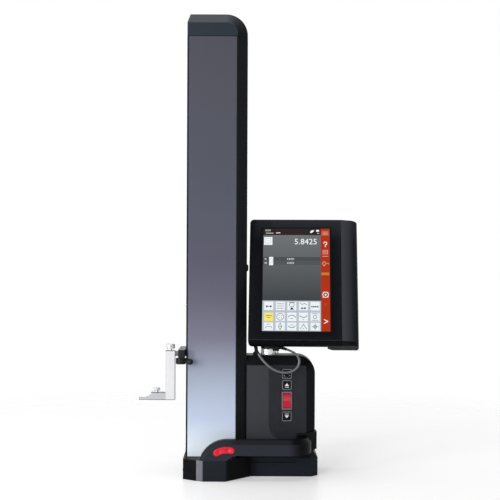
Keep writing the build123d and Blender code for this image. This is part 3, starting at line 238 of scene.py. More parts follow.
def handle_black():
    """Moulded black of the carrying handle, with painted shade on its top and round its bend."""
    finish = Finish("handle_black", IOR=1.45, Specular_IOR_Level=0.05)
    across = finish.axis("X")
    tone = finish.blend(finish.noise(0.09, 3), srgb(37, 38, 45), srgb(45, 47, 54))
    facing = finish.node("ShaderNodeSeparateXYZ", None,
                         {0: finish.node("ShaderNodeNewGeometry", out="Normal")}, out="Z")
    # painted shade on the upward faces
    top = ((facing - 0.45) / 0.3).clamped() * ((across - 0.02) / 0.02).clamped()
    bend_start, bend_end = 0.144, 0.166
    # painted shade deepening round the bend
    bend = ((across - bend_start) / (bend_end - bend_start)).clamped()
    tone = finish.blend((top * 0.7 + bend).clamped(), tone, srgb(7, 8, 10))
    # corners lightened as rubbed paint and as a painted edge highlight
    finish.into("Base Color", finish.blend(finish.rubbed_corner_glint(0.25), tone, srgb(84, 86, 92)))
    speck = finish.noise(0.0007, 2)
    finish.into("Roughness", 0.28 + finish.noise(0.03) * 0.08 + speck * 0.06)
    finish.bump(speck + finish.noise(0.0022) * 0.6, 0.00002)
    return finish.material


def shell_black():
    """Satin black of the column's cap and cover, with painted light on the housing's front, painted shade on
    its right bevel and top band, painted light and shade on the cap's angled faces, and a dark seam under the
    cap.
    """
    finish = Finish("shell_black", IOR=1.45, Specular_IOR_Level=0.05)
    across, up = finish.axis("X"), finish.axis("Z")
    tone = finish.blend(finish.noise(0.09, 3), srgb(25, 26, 29), srgb(31, 32, 36))
    housing_left, housing_bevel, band_foot = 0.0601, 0.182, 0.2185
    seam_foot, cap_foot = 0.8741, 0.8752
    housing = ((across - housing_left) / 0.0008).clamped()
    # painted light on the housing's front, painted shade on its right bevel and on the band at its top
    lit = ((housing_bevel - across) / 0.008).clamped() * (1 - ((up - band_foot) / 0.002).clamped() * 0.85)
    tone = finish.blend(housing, tone, finish.blend(lit, srgb(11, 12, 14), srgb(59, 60, 64)))
    cap = ((up - cap_foot) / 0.0004).clamped()
    seam = ((up - seam_foot) / 0.0003).clamped() * (1 - cap)
    normal = finish.node("ShaderNodeNewGeometry", out="Normal")
    front = finish.node("ShaderNodeSeparateXYZ", None, {0: normal}, out="Y")
    right = finish.node("ShaderNodeSeparateXYZ", None, {0: normal}, out="X").clamped()
    flat = ((front.math("ABSOLUTE", front) - 0.97) / 0.02).clamped()
    # painted light on the cap's angled faces, turning to painted shade where they face right
    cap_face_light_and_shade = finish.blend((right * 1.25).clamped(), srgb(76, 80, 86), srgb(14, 15, 17))
    tone = finish.blend(cap, tone, finish.blend(flat, cap_face_light_and_shade, srgb(46, 54, 63)))
    tone = finish.blend(seam * 0.8, tone, srgb(14, 16, 19))
    # corners lightened as rubbed paint and as a painted edge highlight
    finish.into("Base Color", finish.blend(finish.rubbed_corner_glint(0.2), tone, srgb(92, 94, 100)))
    speck = finish.noise(0.0005, 2)
    finish.into("Roughness", 0.3 + finish.noise(0.03) * 0.08 + speck * 0.06)
    finish.bump(speck + finish.noise(0.0016) * 0.6, 0.00002)
    return finish.material


def display_black():
    """Moulded black of the display, with painted light towards its top, a painted sheen on its angled grip
    beside the grip's crease, painted shade on its bottom band and a painted highlight along the crease above
    that band.
    """
    finish = Finish("display_black", IOR=1.45, Specular_IOR_Level=0.03)
    x, y, z = finish.axis("X") - DISPLAY_ORIGIN.x, finish.axis("Y"), finish.axis("Z") - DISPLAY_ORIGIN.z
    across = x * cos(DISPLAY_YAW) - y * sin(DISPLAY_YAW)
    depth = x * sin(DISPLAY_YAW) + y * cos(DISPLAY_YAW) - DISPLAY_ORIGIN.y
    up = depth * sin(DISPLAY_LEAN) + z * cos(DISPLAY_LEAN)
    crease_x, band_top = 0.1448, -0.0158
    # painted sheen on the grip, beside its crease
    sheen = ((across - crease_x) / 0.0015).clamped() * (1 - ((across - 0.150) / 0.030).clamped())
    tone = finish.blend(finish.noise(0.09, 3), srgb(8, 10, 13), srgb(14, 16, 20))
    # painted light: lighter towards the display's top
    height = ((up - 0.19) / 0.045).clamped()
    tone = finish.blend(height * 0.6, tone, srgb(50, 54, 60))
    tone = finish.blend(sheen, tone, srgb(64, 66, 73))
    # painted shade on the bottom band
    tone = finish.blend(((band_top - up) / 0.0006).clamped() * 0.9, tone, srgb(3, 3, 4))
    # painted highlight: a thin pale line along the crease above the bottom band
    crease = ((up + 0.0160) / 0.0004).clamped() * (1 - ((up + 0.0152) / 0.0004).clamped())
    tone = finish.blend(crease * (1 - sheen) * 0.8, tone, srgb(58, 61, 66))
    # corners lightened as rubbed paint and as a painted edge highlight
    finish.into("Base Color", finish.blend(finish.rubbed_corner_glint(0.25), tone, srgb(70, 72, 78)))
    speck = finish.noise(0.0006, 2)
    finish.into("Roughness", 0.42 + speck * 0.08)
    finish.bump(speck + finish.noise(0.0019) * 0.6, 0.00004)
    return finish.material


def ground_steel():
    """Ground pale steel of the probe holder, darker on its foot, with painted shade along its lower, right and
    upper edges.
    """
    finish = Finish("ground_steel", Metallic=0.5)
    across, up = finish.axis("X"), finish.axis("Z")
    line = finish.noise(0.0006, 3, 0.6, (10, 1, 1))
    tone = finish.blend(finish.noise(0.05, 2), srgb(211, 211, 214), srgb(222, 222, 225))
    tone = finish.blend(line * 0.4, tone, srgb(198, 199, 202))
    foot_top, foot_right, lip_foot = 0.1690, -0.0990, 0.1672
    lower_edge, right_edge, upper_low, upper_high = 0.1548, -0.0819, 0.2496, 0.2511
    foot = ((foot_top - up) / 0.0006).clamped() * ((foot_right - across) / 0.0006).clamped()
    tone = finish.blend(foot * 0.6, tone, srgb(152, 154, 158))
    lip = ((up - lip_foot) / 0.0003).clamped() * foot
    # painted shade along the lower, right and upper edges and along the foot's top lip
    edge_shade_mask = ((lower_edge - up) / 0.0004).clamped() + ((across - right_edge) / 0.0003).clamped() + lip
    edge_shade_mask = edge_shade_mask + ((up - upper_low) / 0.0003).clamped() * (1 - ((up - upper_high) / 0.0003).clamped())
    tone = finish.blend(edge_shade_mask.clamped() * 0.85, tone, srgb(72, 74, 79))
    finish.into("Base Color", tone)
    finish.into("Roughness", 0.25 + line * 0.12)
    finish.bump(line, 0.00002)
    return finish.material


def panel_fade():
    """Printed side panel, dark grey at the cap and running to pale blue grey at the foot, with painted light
    at the very foot where the handle shades it.
    """
    finish = Finish("panel_fade", IOR=1.45, Specular_IOR_Level=0.08)
    ramp = finish.node("ShaderNodeValToRGB", None, {0: (finish.axis("Z") - 0.04) / 0.834})
    # printed fade; the lowest stop is lifted as painted light against the handle's shade
    stops = [
        (0.0, (240, 250, 255)), (0.09, (190, 202, 225)), (0.185, (164, 174, 192)),
        (0.28, (124, 123, 141)), (0.375, (103, 102, 118)), (0.47, (93, 92, 108)),
        (0.61, (88, 92, 104)), (0.945, (85, 85, 95)), (1.0, (82, 83, 93)),
    ]
    colours = ramp.socket.node.color_ramp.elements
    while len(colours) < len(stops):
        colours.new(0.5)
    for element, (position, colour) in zip(colours, stops):
        element.position = position
        element.color = srgb(*colour)
    drift = finish.noise(0.12, 2)
    shade = finish.node("ShaderNodeMix", {"data_type": "RGBA", "blend_type": "MULTIPLY"},
                        {0: 0.12 * drift, 6: ramp, 7: srgb(150, 152, 160)}, out=2)
    finish.into("Base Color", shade)
    speck = finish.noise(0.0005, 2)
    finish.into("Roughness", 0.42 + finish.noise(0.04) * 0.08)
    finish.bump(speck, 0.000012)
    return finish.material


def key_red():
    """Deep red moulded plastic under a clear skin, with a painted highlight on the rocker's upper half."""
    finish = Finish("red_plastic", IOR=1.48, Specular_IOR_Level=0.2, Coat_Roughness=0.12, Coat_Weight=0.1)
    colour = srgb(204, 24, 46)
    drift = finish.noise(0.012, 2)
    tone = finish.blend(drift, scaled(colour, 0.9), scaled(colour, 1.2))
    height = finish.axis("Z")
    rocker_middle, button_top = 0.1493, 0.12
    # painted highlight: the upper half of the rocker lighter just above its middle
    upper = ((height - rocker_middle) / 0.0006).clamped() * (1 - ((height - rocker_middle) / 0.011).clamped())
    tone = finish.blend(upper * 0.55, tone, srgb(244, 120, 136))
    tone = finish.blend(((height - button_top) / 0.001).clamped() * 0.5, tone, srgb(140, 20, 40))
    finish.into("Base Color", tone)
    finish.into("Roughness", 0.3 + finish.noise(0.004) * 0.12)
    finish.bump(finish.noise(0.0006), 0.000015)
    return finish.material


def screen_paint(name, colour, lit=SCREEN_GLOW):
    """A colour on the lit display, behind glass, with a faint dot grid."""
    finish = Finish(name, IOR=1.5, Coat_Roughness=0.06, Specular_IOR_Level=0.08)
    cells = finish.node("ShaderNodeTexVoronoi", {"feature": "F1"}, {"Vector": finish.place, "Scale": 3200.0})
    tone = finish.blend(cells, scaled(colour, 1.04), scaled(colour, 0.93))
    finish.into("Base Color", finish.blend(0.8 + finish.noise(0.03) * 0.1, tone, (0, 0, 0, 1)))
    finish.into("Emission Color", tone)
    finish.shader.inputs["Emission Strength"].default_value = lit
    finish.into("Roughness", 0.3 + finish.noise(0.02) * 0.08)
    return finish.material


def grey_field():
    """The display's grey field, paler at its top."""
    finish = Finish("screen_grey", IOR=1.5, Specular_IOR_Level=0.08)
    fall = ((finish.axis("Z") - 0.35) / 0.13).clamped()
    tone = finish.blend(fall, srgb(68, 72, 75), srgb(120, 124, 127))
    finish.into("Base Color", finish.blend(0.8, tone, (0, 0, 0, 1)))
    finish.into("Emission Color", tone)
    finish.shader.inputs["Emission Strength"].default_value = SCREEN_GLOW
    finish.into("Roughness", 0.3 + finish.noise(0.02) * 0.08)
    return finish.material


def circuit_green():
    finish = Finish("board_green", IOR=1.5)
    turned_place = finish.node("ShaderNodeMapping", None,
                               {"Vector": finish.place, "Rotation": (radians(90), 0, 0)})
    tracks = finish.node("ShaderNodeTexBrick", {"offset": 0.3}, {
        "Vector": turned_place, "Scale": 160.0,
        "Color1": srgb(24, 74, 44), "Color2": srgb(30, 88, 52), "Mortar": srgb(14, 48, 28)})
    finish.into("Base Color", tracks)
    finish.into("Roughness", 0.4 + finish.noise(0.01) * 0.2)
    finish.bump(finish.noise(0.002), 0.00005)
    return finish.material


def glass_black():
    finish = Finish("screen_glass", IOR=1.5, Specular_IOR_Level=0.08, Coat_Roughness=0.05)
    drift = finish.noise(0.05)
    finish.into("Base Color", finish.blend(drift, srgb(8, 9, 11), srgb(13, 14, 17)))
    finish.into("Roughness", 0.12 + drift * 0.06)
    return finish.material


FINISHES = {
    "cast_black": cast_black(),
    "handle_black": handle_black(),
    "shell_black": shell_black(),
    "display_black": display_black(),
    "panel_fade": panel_fade(),
    "aluminium": metal("aluminium", srgb(186, 188, 192), 0.36, (1, 1, 14)),
    "arm_black": coated("arm_black", srgb(26, 27, 29), 0.3, 0.0005, 0.00002, specular=0.2),
    "bearing_steel": metal("bearing_steel", srgb(206, 208, 212), 0.28, (1, 1, 10), share=0.7),
    "ground_steel": ground_steel(),
    "post_chrome": metal("post_chrome", srgb(250, 252, 255), 0.24, (1, 1, 0.2), depth=0.000006, spread=0.03,
                         share=0.45),
    "pad_bronze": metal("pad_bronze", srgb(168, 128, 84), 0.4, grain=0.0009),
    "weight_iron": coated("weight_iron", srgb(86, 88, 92), 0.55, 0.0009, 0.00007, spread=0.25),
    "red_button": key_red(),
    "key_black": coated("key_black", srgb(16, 16, 18), 0.36, 0.0004, 0.00002, specular=0.1),
    "screen_glass": glass_black(),
    "board_green": circuit_green(),
    "inner_plastic": coated("inner_plastic", srgb(58, 60, 64), 0.5, 0.0005, 0.00003),
    "frame_rose": coated("frame_rose", srgb(126, 92, 100), 0.35, 0.0004, 0.00001, spread=0.1, rub_and_glint=0.0),
    "rubber_black": coated("rubber_black", srgb(20, 20, 22), 0.5, 0.0004, 0.00003, specular=0.12, rub_and_glint=0.1),
    "keypad_black": coated("keypad_black", srgb(39, 40, 44), 0.4, 0.0005, 0.00002, specular=0.06),
    "cable_sheath": coated("cable_sheath", srgb(92, 94, 99), 0.3, 0.0006, 0.00001, specular=0.5, rub_and_glint=0.1,
                           coat=0.4),
}
PAINT = {
    "dark": screen_paint("screen_dark", srgb(44, 38, 36)),
    "band": screen_paint("screen_band", srgb(84, 88, 91)),
    "bandlow": screen_paint("screen_bandlow", srgb(92, 96, 99)),
    "white": screen_paint("screen_white", srgb(240, 242, 244), 0.95),
    "pale": screen_paint("screen_pale", srgb(236, 242, 246), 0.86),
    "keypad": screen_paint("screen_keypad", srgb(190, 198, 208), 0.8),
    "ink": screen_paint("screen_ink", srgb(58, 68, 80)),
    "black": screen_paint("screen_black", srgb(20, 22, 26)),
    "yellow": screen_paint("screen_yellow", srgb(246, 230, 120), 0.85),
    "amber": screen_paint("screen_amber", srgb(228, 150, 60)),
    "orange": screen_paint("screen_orange", srgb(198, 56, 22)),
    "menu": screen_paint("screen_menu", srgb(206, 96, 70)),
    "rose": screen_paint("screen_rose", srgb(240, 176, 160), 0.8),
    "grey": grey_field(),
    "glyph": coated("glyph_white", srgb(226, 228, 230), 0.5, 0.0004, 0.00001, spread=0.04, rub_and_glint=0.0),
    "rim": coated("key_rim", srgb(150, 152, 156), 0.45, 0.0004, 0.00001, spread=0.08, rub_and_glint=0.0),
}


# ---- CAD pieces that stay: soft corners and their finish ----------------------------------------
def smoothing():
    """Node group: joins the faces' loose edges and shades them smooth except at real corners."""
    group = bpy.data.node_groups.new("smoothing", "GeometryNodeTree")
    group.interface.new_socket("Geometry", in_out="INPUT", socket_type="NodeSocketGeometry")
    group.interface.new_socket("Geometry", in_out="OUTPUT", socket_type="NodeSocketGeometry")
    nodes = group.nodes
    start = nodes.new("NodeGroupInput")
    plain = nodes.new("GeometryNodeSetMeshNormal")
    plain.mode = "SHARPNESS"
    plain.inputs["Remove Custom"].default_value = True
    merge = nodes.new("GeometryNodeMergeByDistance")
    merge.inputs["Distance"].default_value = 0.000004
    faces = nodes.new("GeometryNodeSetShadeSmooth")
    faces.domain = "FACE"
    faces.inputs["Shade Smooth"].default_value = True
    edges = nodes.new("GeometryNodeSetShadeSmooth")
    edges.domain = "EDGE"
    angle = nodes.new("GeometryNodeInputMeshEdgeAngle")
    gentle = nodes.new("FunctionNodeCompare")
    gentle.data_type = "FLOAT"
    gentle.operation = "LESS_THAN"
    gentle.inputs[1].default_value = radians(28)
    end = nodes.new("NodeGroupOutput")
    links = group.links
    links.new(start.outputs[0], plain.inputs["Mesh"])
    links.new(plain.outputs[0], merge.inputs["Geometry"])
    links.new(merge.outputs[0], faces.inputs["Geometry"])
    links.new(faces.outputs[0], edges.inputs["Geometry"])
    links.new(angle.outputs["Unsigned Angle"], gentle.inputs[0])
    links.new(gentle.outputs["Result"], edges.inputs["Shade Smooth"])
    links.new(edges.outputs[0], end.inputs[0])
    return group


SMOOTHING = smoothing()
CORNERS = {
    "base_casting": 1.2, "handle": 1.2, "housing_front_shell": 0.9, "housing_rear_shell": 0.9,
    "top_cap": 0.9, "column_rear_cover": 0.6, "display_front_bezel": 0.8, "display_rear_shell": 0.9,
    "stylus_holder": 0.5, "probe_arm": 0.6, "swivel_bracket": 0.5, "rocker_frame": 0.5,
    "near_side_panel": 0.4, "far_side_panel": 0.4, "jog_rocker": 0.6, "carriage_plate": 0.4,
    "curve_button": 0.5, "up_button": 0.5, "down_button": 0.5, "counterweight": 0.8,
    "display_plug": 1.0, "front_trims": 0.3, "housing_plug": 0.3,
}


def soften(obj, corner):
    obj.modifiers.new("smoothing", "NODES").node_group = SMOOTHING
    if corner:
        flat = obj.modifiers.new("flat", "DECIMATE")
        flat.decimate_type = "DISSOLVE"
        flat.angle_limit = radians(0.6)
        bevel = obj.modifiers.new("corners", "BEVEL")
        bevel.width = corner * MM
        bevel.segments = 2
        bevel.limit_method = "ANGLE"
        bevel.angle_limit = radians(28)
        bevel.miter_outer = "MITER_ARC"
        bevel.harden_normals = False
        obj.modifiers.new("normals", "WEIGHTED_NORMAL").keep_sharp = True


def finish_nodes():
    slots = {}
    for part in frame["record"]["subparts"]:
        slots[part["node"]] = part["material_slot"]
    for name, obj in frame["nodes"].items():
        obj.data.materials.clear()
        finish = "frame_rose" if name == "rocker_frame" else slots[name]
        obj.data.materials.append(FINISHES[finish])
        soften(obj, CORNERS.get(name, 0))


# ---- new pieces ---------------------------------------------------------------------------------
def piece(name, bm, body, finish, angle=30, matrix=None):
    """Mesh of millimetres made into a piece on that body."""
    bmesh.ops.recalc_face_normals(bm, faces=bm.faces)
    mesh = bpy.data.meshes.new(name)
    bm.to_mesh(mesh)
    bm.free()
    mesh.transform(Matrix.Scale(MM, 4) if matrix is None else matrix @ Matrix.Scale(MM, 4))
    mesh.materials.append(finish)
    mesh.shade_smooth()
    mesh.set_sharp_from_angle(angle=radians(angle))
    obj = bpy.data.objects.new(name, mesh)
    scene.collection.objects.link(obj)
    if body:
        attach(obj, body)
    return obj


def lofted(bm, sections):
    """Skin over round sections, each its place, radius and number of sides; gives the faces of each span."""
    loops = []
    for place, radius, sides in sections:
        made = bmesh.ops.create_circle(bm, segments=sides, radius=radius, matrix=place)
        loops.append(list(dict.fromkeys(edge for vert in made["verts"] for edge in vert.link_edges)))
    spans = [bmesh.ops.bridge_loops(bm, edges=low + high)["faces"] for low, high in zip(loops, loops[1:])]
    for end in (loops[0], loops[-1]):
        bmesh.ops.contextual_create(bm, geom=end)
    return spans


def turned(bm, place, profile, sides=40):
    """Turned form about place's Z axis through (height, radius) rows."""
    return lofted(bm, [(place @ Matrix.Translation((0, 0, height)), radius, sides)
                       for height, radius in profile])


def knurled_knob(bm, x, y, low, high, radius, neck, seat):
    """Knob with straight knurling and chamfered ends, on a neck that stands on its seat."""
    place = Matrix.Translation((x, y, 0))
    edge = 0.9
    body = radius - 0.45
    profile = [
        (low, body - edge), (low + edge, body), (high - edge, body),
        (high, body - edge), (high, body - edge - 1.2), (high - 0.35, body - edge - 1.6),
    ]
    spans = turned(bm, place, profile, sides=48)
    bmesh.ops.recalc_face_normals(bm, faces=bm.faces)
    bmesh.ops.inset_individual(bm, faces=spans[1], thickness=0.22, depth=0.45)
    turned(bm, place, [(seat, neck), (low + 0.2, neck)], sides=32)


def along(start, way):
    """Place at start with its Z axis along way."""
    return Matrix.Translation(start) @ Vector(way).to_track_quat("Z", "Y").to_matrix().to_4x4()


CABLE_DIAMETER = 4.5
CABLE_ROUTE = [
    (79.5, -10.0, 254.0), (79.5, -10.0, 266.0), (77.6, -14.0, 278.5), (75.4, -24.0, 284.0),
    (74.0, -35.5, 280.0), (74.2, -43.0, 268.5), (78.0, -49.0, 254.0), (85.0, -54.0, 240.5),
    (95.5, -57.5, 227.5), (108.5, -59.5, 216.0), (124.5, -60.0, 208.5), (141.5, -60.0, 207.0),
    (155.5, -59.5, 212.5), (163.8, -58.5, 222.5), (164.8, -57.5, 234.5), (157.5, -56.5, 245.0),
    (146.5, -56.0, 250.8), (138.8, -55.8, 253.4),
]
CABLE_FOOT = Vector((133.0, -60.0, 207.75))


def route_line():
    """Points along the cable's own smooth line, in millimetres."""
    curve = bpy.data.curves.new("route", "CURVE")
    curve.dimensions = "3D"
    curve.resolution_u = 10
    spline = curve.splines.new("NURBS")
    spline.points.add(len(CABLE_ROUTE) - 1)
    for point, place in zip(spline.points, CABLE_ROUTE):
        point.co = (*place, 1)
    spline.order_u = 3
    spline.use_endpoint_u = True
    holder = bpy.data.objects.new("route", curve)
    scene.collection.objects.link(holder)
    bpy.context.view_layer.update()
    mesh = bpy.data.meshes.new_from_object(holder)
    line = [vertex.co.copy() for vertex in mesh.vertices]
    bpy.data.objects.remove(holder)
    bpy.data.curves.remove(curve)
    bpy.data.meshes.remove(mesh)
    return line


def tube(name, line, finish, radius=CABLE_DIAMETER / 2):
    """Round tube along the line, with its section carried along without twist."""
    side = Vector((0, 1, 0))
    sections = []
    for i, point in enumerate(line):
        way = (line[min(i + 1, len(line) - 1)] - line[max(i - 1, 0)]).normalized()
        side = (side - way * side.dot(way)).normalized()
        turn = Matrix((side, way.cross(side), way)).transposed().to_4x4()
        sections.append((Matrix.Translation(point) @ turn, radius, 20))
    bm = bmesh.new()
    lofted(bm, sections)
    return piece(name, bm, None, finish, angle=60)


def display_cable():
    """The cable from the housing's plug round its loop to the display, in one line."""
    line = route_line()
    split = min(range(len(line)), key=lambda i: (line[i] - CABLE_FOOT).length)
    lower_line = line[:split + 1]
    upper_line = line[split:]
    lower = tube("cable_lower", lower_line, FINISHES["cable_sheath"])
    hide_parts("display_cable_lower")
    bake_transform(lower)
    covered = [point for point in lower_line if 243 < point.z < 261 and point.y < -38]
    sleeve = tube("cable_sleeve", covered, FINISHES["rubber_black"], 3.0)
    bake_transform(sleeve)
    upper = tube("cable_upper", upper_line, FINISHES["cable_sheath"])
    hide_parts("display_cable_upper")
    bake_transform(upper)

    bm = bmesh.new()
    end = Vector(CABLE_ROUTE[-1])
    way = (end - Vector(CABLE_ROUTE[-2])).normalized()
    profile = [(0.0, 2.3), (0.0, 2.9), (1.55, 3.0)]
    for rib in range(4):
        foot = 1.6 + rib * 2.6
        radius = 3.1 + rib * 0.26
        profile += [(foot, radius), (foot + 1.3, radius),
                    (foot + 1.5, radius - 0.6), (foot + 2.4, radius - 0.6)]
    profile += [(12.1, 4.15), (15.6, 4.15)]
    turned(bm, along(end - way * 0.3, way), profile, sides=32)
    boot = piece("cable_boot", bm, "display", FINISHES["rubber_black"], angle=40)
    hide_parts("display_boot")

    lengths = [sum((b - a).length for a, b in zip(part, part[1:])) * MM for part in (lower_line, upper_line)]
    print("cable lengths", lengths)


def thumb_screws():
    neck_height = 3.3
    for name, node, x, radius, seat in (
        ("holder_thumb_screw", "holder_screw", -90.4, 9.0, 251.0),
        ("stylus_thumb_screw", "stylus_screw", -117.3, 7.1, 168.4),
    ):
        low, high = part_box(node)
        bm = bmesh.new()
        knurled_knob(bm, x, PROBE_Y, seat + neck_height, high[2] / MM, radius, 3.0, low[2] / MM)
        obj = piece(name, bm, node, FINISHES["ground_steel"], angle=25)
        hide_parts(node)


def lever():
    """Clamp lever: knurled hub under the arm and a handle that swells to a rounded end."""
    bm = bmesh.new()
    knurled_knob(bm, LEVER_X, PROBE_Y, 224.0, 236.0, 10.3, 3.0, 236.0)
    turned(bm, Matrix.Translation((LEVER_X, PROBE_Y, 0)), [(235.8, 3.0), (239.6, 3.0)], sides=32)
    way = Vector((18.5, -9.0, 0))
    reach = way.length + 6.2
    end = 6.1
    profile = [(6.0, 3.9), (10.5, 3.9), (13.0, 4.5), (16.0, 5.6), (18.5, end)]
    for step in range(9):
        turn = radians(90 * step / 8)
        profile.append((reach - end + end * sin(turn), max(0.15, end * cos(turn))))
    turned(bm, along((LEVER_X, PROBE_Y, 229.4), way), profile, sides=40)
    obj = piece("clamp_lever_turned", bm, "clamp_lever", FINISHES["arm_black"], angle=30)
    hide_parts("clamp_lever")


def air_key():
    """Red button along the handle's arch, with soft edges and two thumb dimples."""
    x, z, middle, half = 22.0, 23.5, 38.0, 6.5
    first, last = 121, 76
    ends = [(x + middle * cos(radians(turn)), z + middle * sin(radians(turn))) for turn in (first, last)]
    outline = arc(x, z, middle + half, first, last, 14)
    outline += arc(*ends[1], half, last, last - 180, 12)[1:-1]
    outline += arc(x, z, middle - half, last, first, 14)
    outline += arc(*ends[0], half, first + 180, first, 12)[1:-1]
    back, front = -93.5, -100.5
    bm = bmesh.new()
    polygon(bm, outline, (back, front))
    rim = [edge for edge in bm.edges if all(abs(vert.co.y - front) < 0.01 for vert in edge.verts)]
    bmesh.ops.bevel(bm, geom=rim, offset=1.3, affect="EDGES", segments=4, profile=0.5, material=-1,
                    clamp_overlap=True)
    face = max((face for face in bm.faces if abs(face.calc_center_median().y - front) < 0.01),
               key=lambda face: face.calc_area())
    edges = list(face.edges)
    bmesh.ops.delete(bm, geom=[face], context="FACES_ONLY")
    dimples = []
    for turn in (112, 85):
        spot = Matrix.Translation((x + middle * cos(radians(turn)), front, z + middle * sin(radians(turn))))
        made = bmesh.ops.create_circle(bm, cap_ends=True, segments=20, radius=3.4,
                                       matrix=spot @ Matrix.Rotation(radians(90), 4, "X"))
        dimples.append(made["verts"][0].link_faces[0])
        edges += list(dimples[-1].edges)
    bmesh.ops.triangle_fill(bm, edges=edges, use_beauty=True, use_dissolve=True)
    bmesh.ops.recalc_face_normals(bm, faces=bm.faces)
    for thickness, depth in ((0.5, -0.35), (0.9, -0.4), (1.0, -0.2)):
        bmesh.ops.inset_individual(bm, faces=dimples, thickness=thickness, depth=depth)
    obj = piece("air_button_moulded", bm, "air_button", FINISHES["red_button"], angle=50)
    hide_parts("air_button")


def domed_screw(bm, place, radius, height):
    """Button head with a hexagon socket."""
    sections = [(0.0, 1.0, 24), (0.5, 0.93, 24), (0.85, 0.75, 24), (1.0, 0.55, 24),
                (1.0, 0.46, 6), (0.3, 0.46, 6)]
    lofted(bm, [(place @ Matrix.Translation((0, 0, height * level)), radius * share, sides)
                for level, share, sides in sections])


def cover_screws():
    bm = bmesh.new()
    for z in (300.0, 570.0, 840.0):
        for y in (-24.0, 24.0):
            domed_screw(bm, along((58.4, y, z), (1, 0, 0)), 3.25, 1.5)
    for x, z in ((72, 60), (172, 60), (72, 210), (156, 210)):
        domed_screw(bm, along((x, 38.4, z), (0, 1, 0)), 3.25, 1.5)
    obj = piece("cover_screw_heads", bm, "base", FINISHES["bearing_steel"], angle=35)
    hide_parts("cover_screws")


def slab(bm, xs, zs, ys):
    """Box between limits, in millimetres."""
    size = (abs(xs[1] - xs[0]), abs(ys[1] - ys[0]), abs(zs[1] - zs[0]), 1)
    centre = Matrix.Translation((sum(xs) / 2, sum(ys) / 2, sum(zs) / 2))
    bmesh.ops.create_cube(bm, size=1, matrix=centre @ Matrix.Diagonal(size))


def rounded(xs, zs, radius, steps=5):
    """Outline of a rectangle with rounded corners, as (x, z) points."""
    points = []
    for cx, cz, turn in ((xs[1] - radius, zs[1] - radius, 0), (xs[0] + radius, zs[1] - radius, 90),
                         (xs[0] + radius, zs[0] + radius, 180), (xs[1] - radius, zs[0] + radius, 270)):
        for step in range(steps + 1):
            angle = radians(turn + 90 * step / steps)
            points.append((cx + radius * cos(angle), cz + radius * sin(angle)))
    return points


def plate(bm, outline, holes, ys):
    """Flat plate over an outline with holes, between two depths."""
    edges = []
    for loop in [outline, *holes]:
        verts = [bm.verts.new((x, ys[0], z)) for x, z in loop]
        edges += [bm.edges.new((verts[i], verts[(i + 1) % len(verts)])) for i in range(len(verts))]
    made = bmesh.ops.triangle_fill(bm, edges=edges, use_beauty=True, use_dissolve=True)
    faces = [item for item in made["geom"] if isinstance(item, bmesh.types.BMFace)]
    grown = bmesh.ops.extrude_face_region(bm, geom=faces)
    verts = [item for item in grown["geom"] if isinstance(item, bmesh.types.BMVert)]
    bmesh.ops.translate(bm, verts=verts, vec=(0, ys[1] - ys[0], 0))


def polygon(bm, points, ys):
    """Solid over an outline of (x, z) points."""
    face = bm.faces.new([bm.verts.new((x, ys[0], z)) for x, z in points])
    grown = bmesh.ops.extrude_face_region(bm, geom=[face])
    verts = [item for item in grown["geom"] if isinstance(item, bmesh.types.BMVert)]
    bmesh.ops.translate(bm, verts=verts, vec=(0, ys[1] - ys[0], 0))


def stroke(bm, points, width, ys):
    """Line of that width through (x, z) points."""
    for (ax, az), (bx, bz) in zip(points, points[1:]):
        turn = atan2(bz - az, bx - ax)
        over = width / 2
        dx, dz = cos(turn) * over, sin(turn) * over
        polygon(bm, [(ax - dx - dz, az - dz + dx), (bx + dx - dz, bz + dz + dx),
                     (bx + dx + dz, bz + dz - dx), (ax - dx + dz, az - dz - dx)], ys)


def arc(cx, cz, radius, start, end, steps=12):
    """Points (x, z) round part of a circle, in degrees."""
    turns = [radians(start + (end - start) * i / steps) for i in range(steps + 1)]
    return [(cx + radius * cos(turn), cz + radius * sin(turn)) for turn in turns]


KEY_HEIGHTS = {"curve_button": 202.8, "up_button": 180.7, "down_button": 118.0}
KEY_X = 140.9


def key_panel():
    """Thin panel round the keys, its lower left corner swept off."""
    bm = bmesh.new()
    outline = [(104.5, 219.0), (104.5, 104.0)]
    outline += arc(140.5, 104.0, 36.0, 180, 270, 14)[1:]
    outline += [(179.0, 68.0), (179.0, 219.0)]
    holes = [rounded((KEY_X - 10.6, KEY_X + 10.6), (z - 10.6, z + 10.6), 2.4) for z in KEY_HEIGHTS.values()]
    holes.append(rounded((KEY_X - 11.3, KEY_X + 11.3), (130.3, 168.3), 3.4))
    plate(bm, outline, holes, (-40.0, -40.35))
    piece("key_panel", bm, "base", FINISHES["keypad_black"])


def key_marks():
    """White glyphs and pale rims on the keys."""
    front = (-41.15, -41.32)
    for node, z in KEY_HEIGHTS.items():
        bm = bmesh.new()
        if node == "curve_button":
            wave = [(KEY_X - 5.0 + 10 * i / 16, z - 3.6 + 2.0 * sin(pi * (i / 8 - 1) * 0.95))
                    for i in range(17)]
            stroke(bm, wave, 1.1, front)
        else:
            up = 1 if node == "up_button" else -1
            foot = z - 2.0 * up
            polygon(bm, [(KEY_X - 4.4, foot), (KEY_X + 4.4, foot), (KEY_X, z + 3.6 * up)], front)
            stroke(bm, [(KEY_X - 3.6, z - 4.6 * up), (KEY_X + 3.6, z - 4.6 * up)], 0.9, front)
        piece(node + "_glyph", bm, node, PAINT["glyph"])
        bm = bmesh.new()
        plate(bm, rounded((KEY_X - 9.0, KEY_X + 9.0), (z - 9.0, z + 9.0), 2.2),
              [rounded((KEY_X - 8.3, KEY_X + 8.3), (z - 8.3, z + 8.3), 1.7)], front)
        piece(node + "_rim", bm, node, PAINT["rim"])


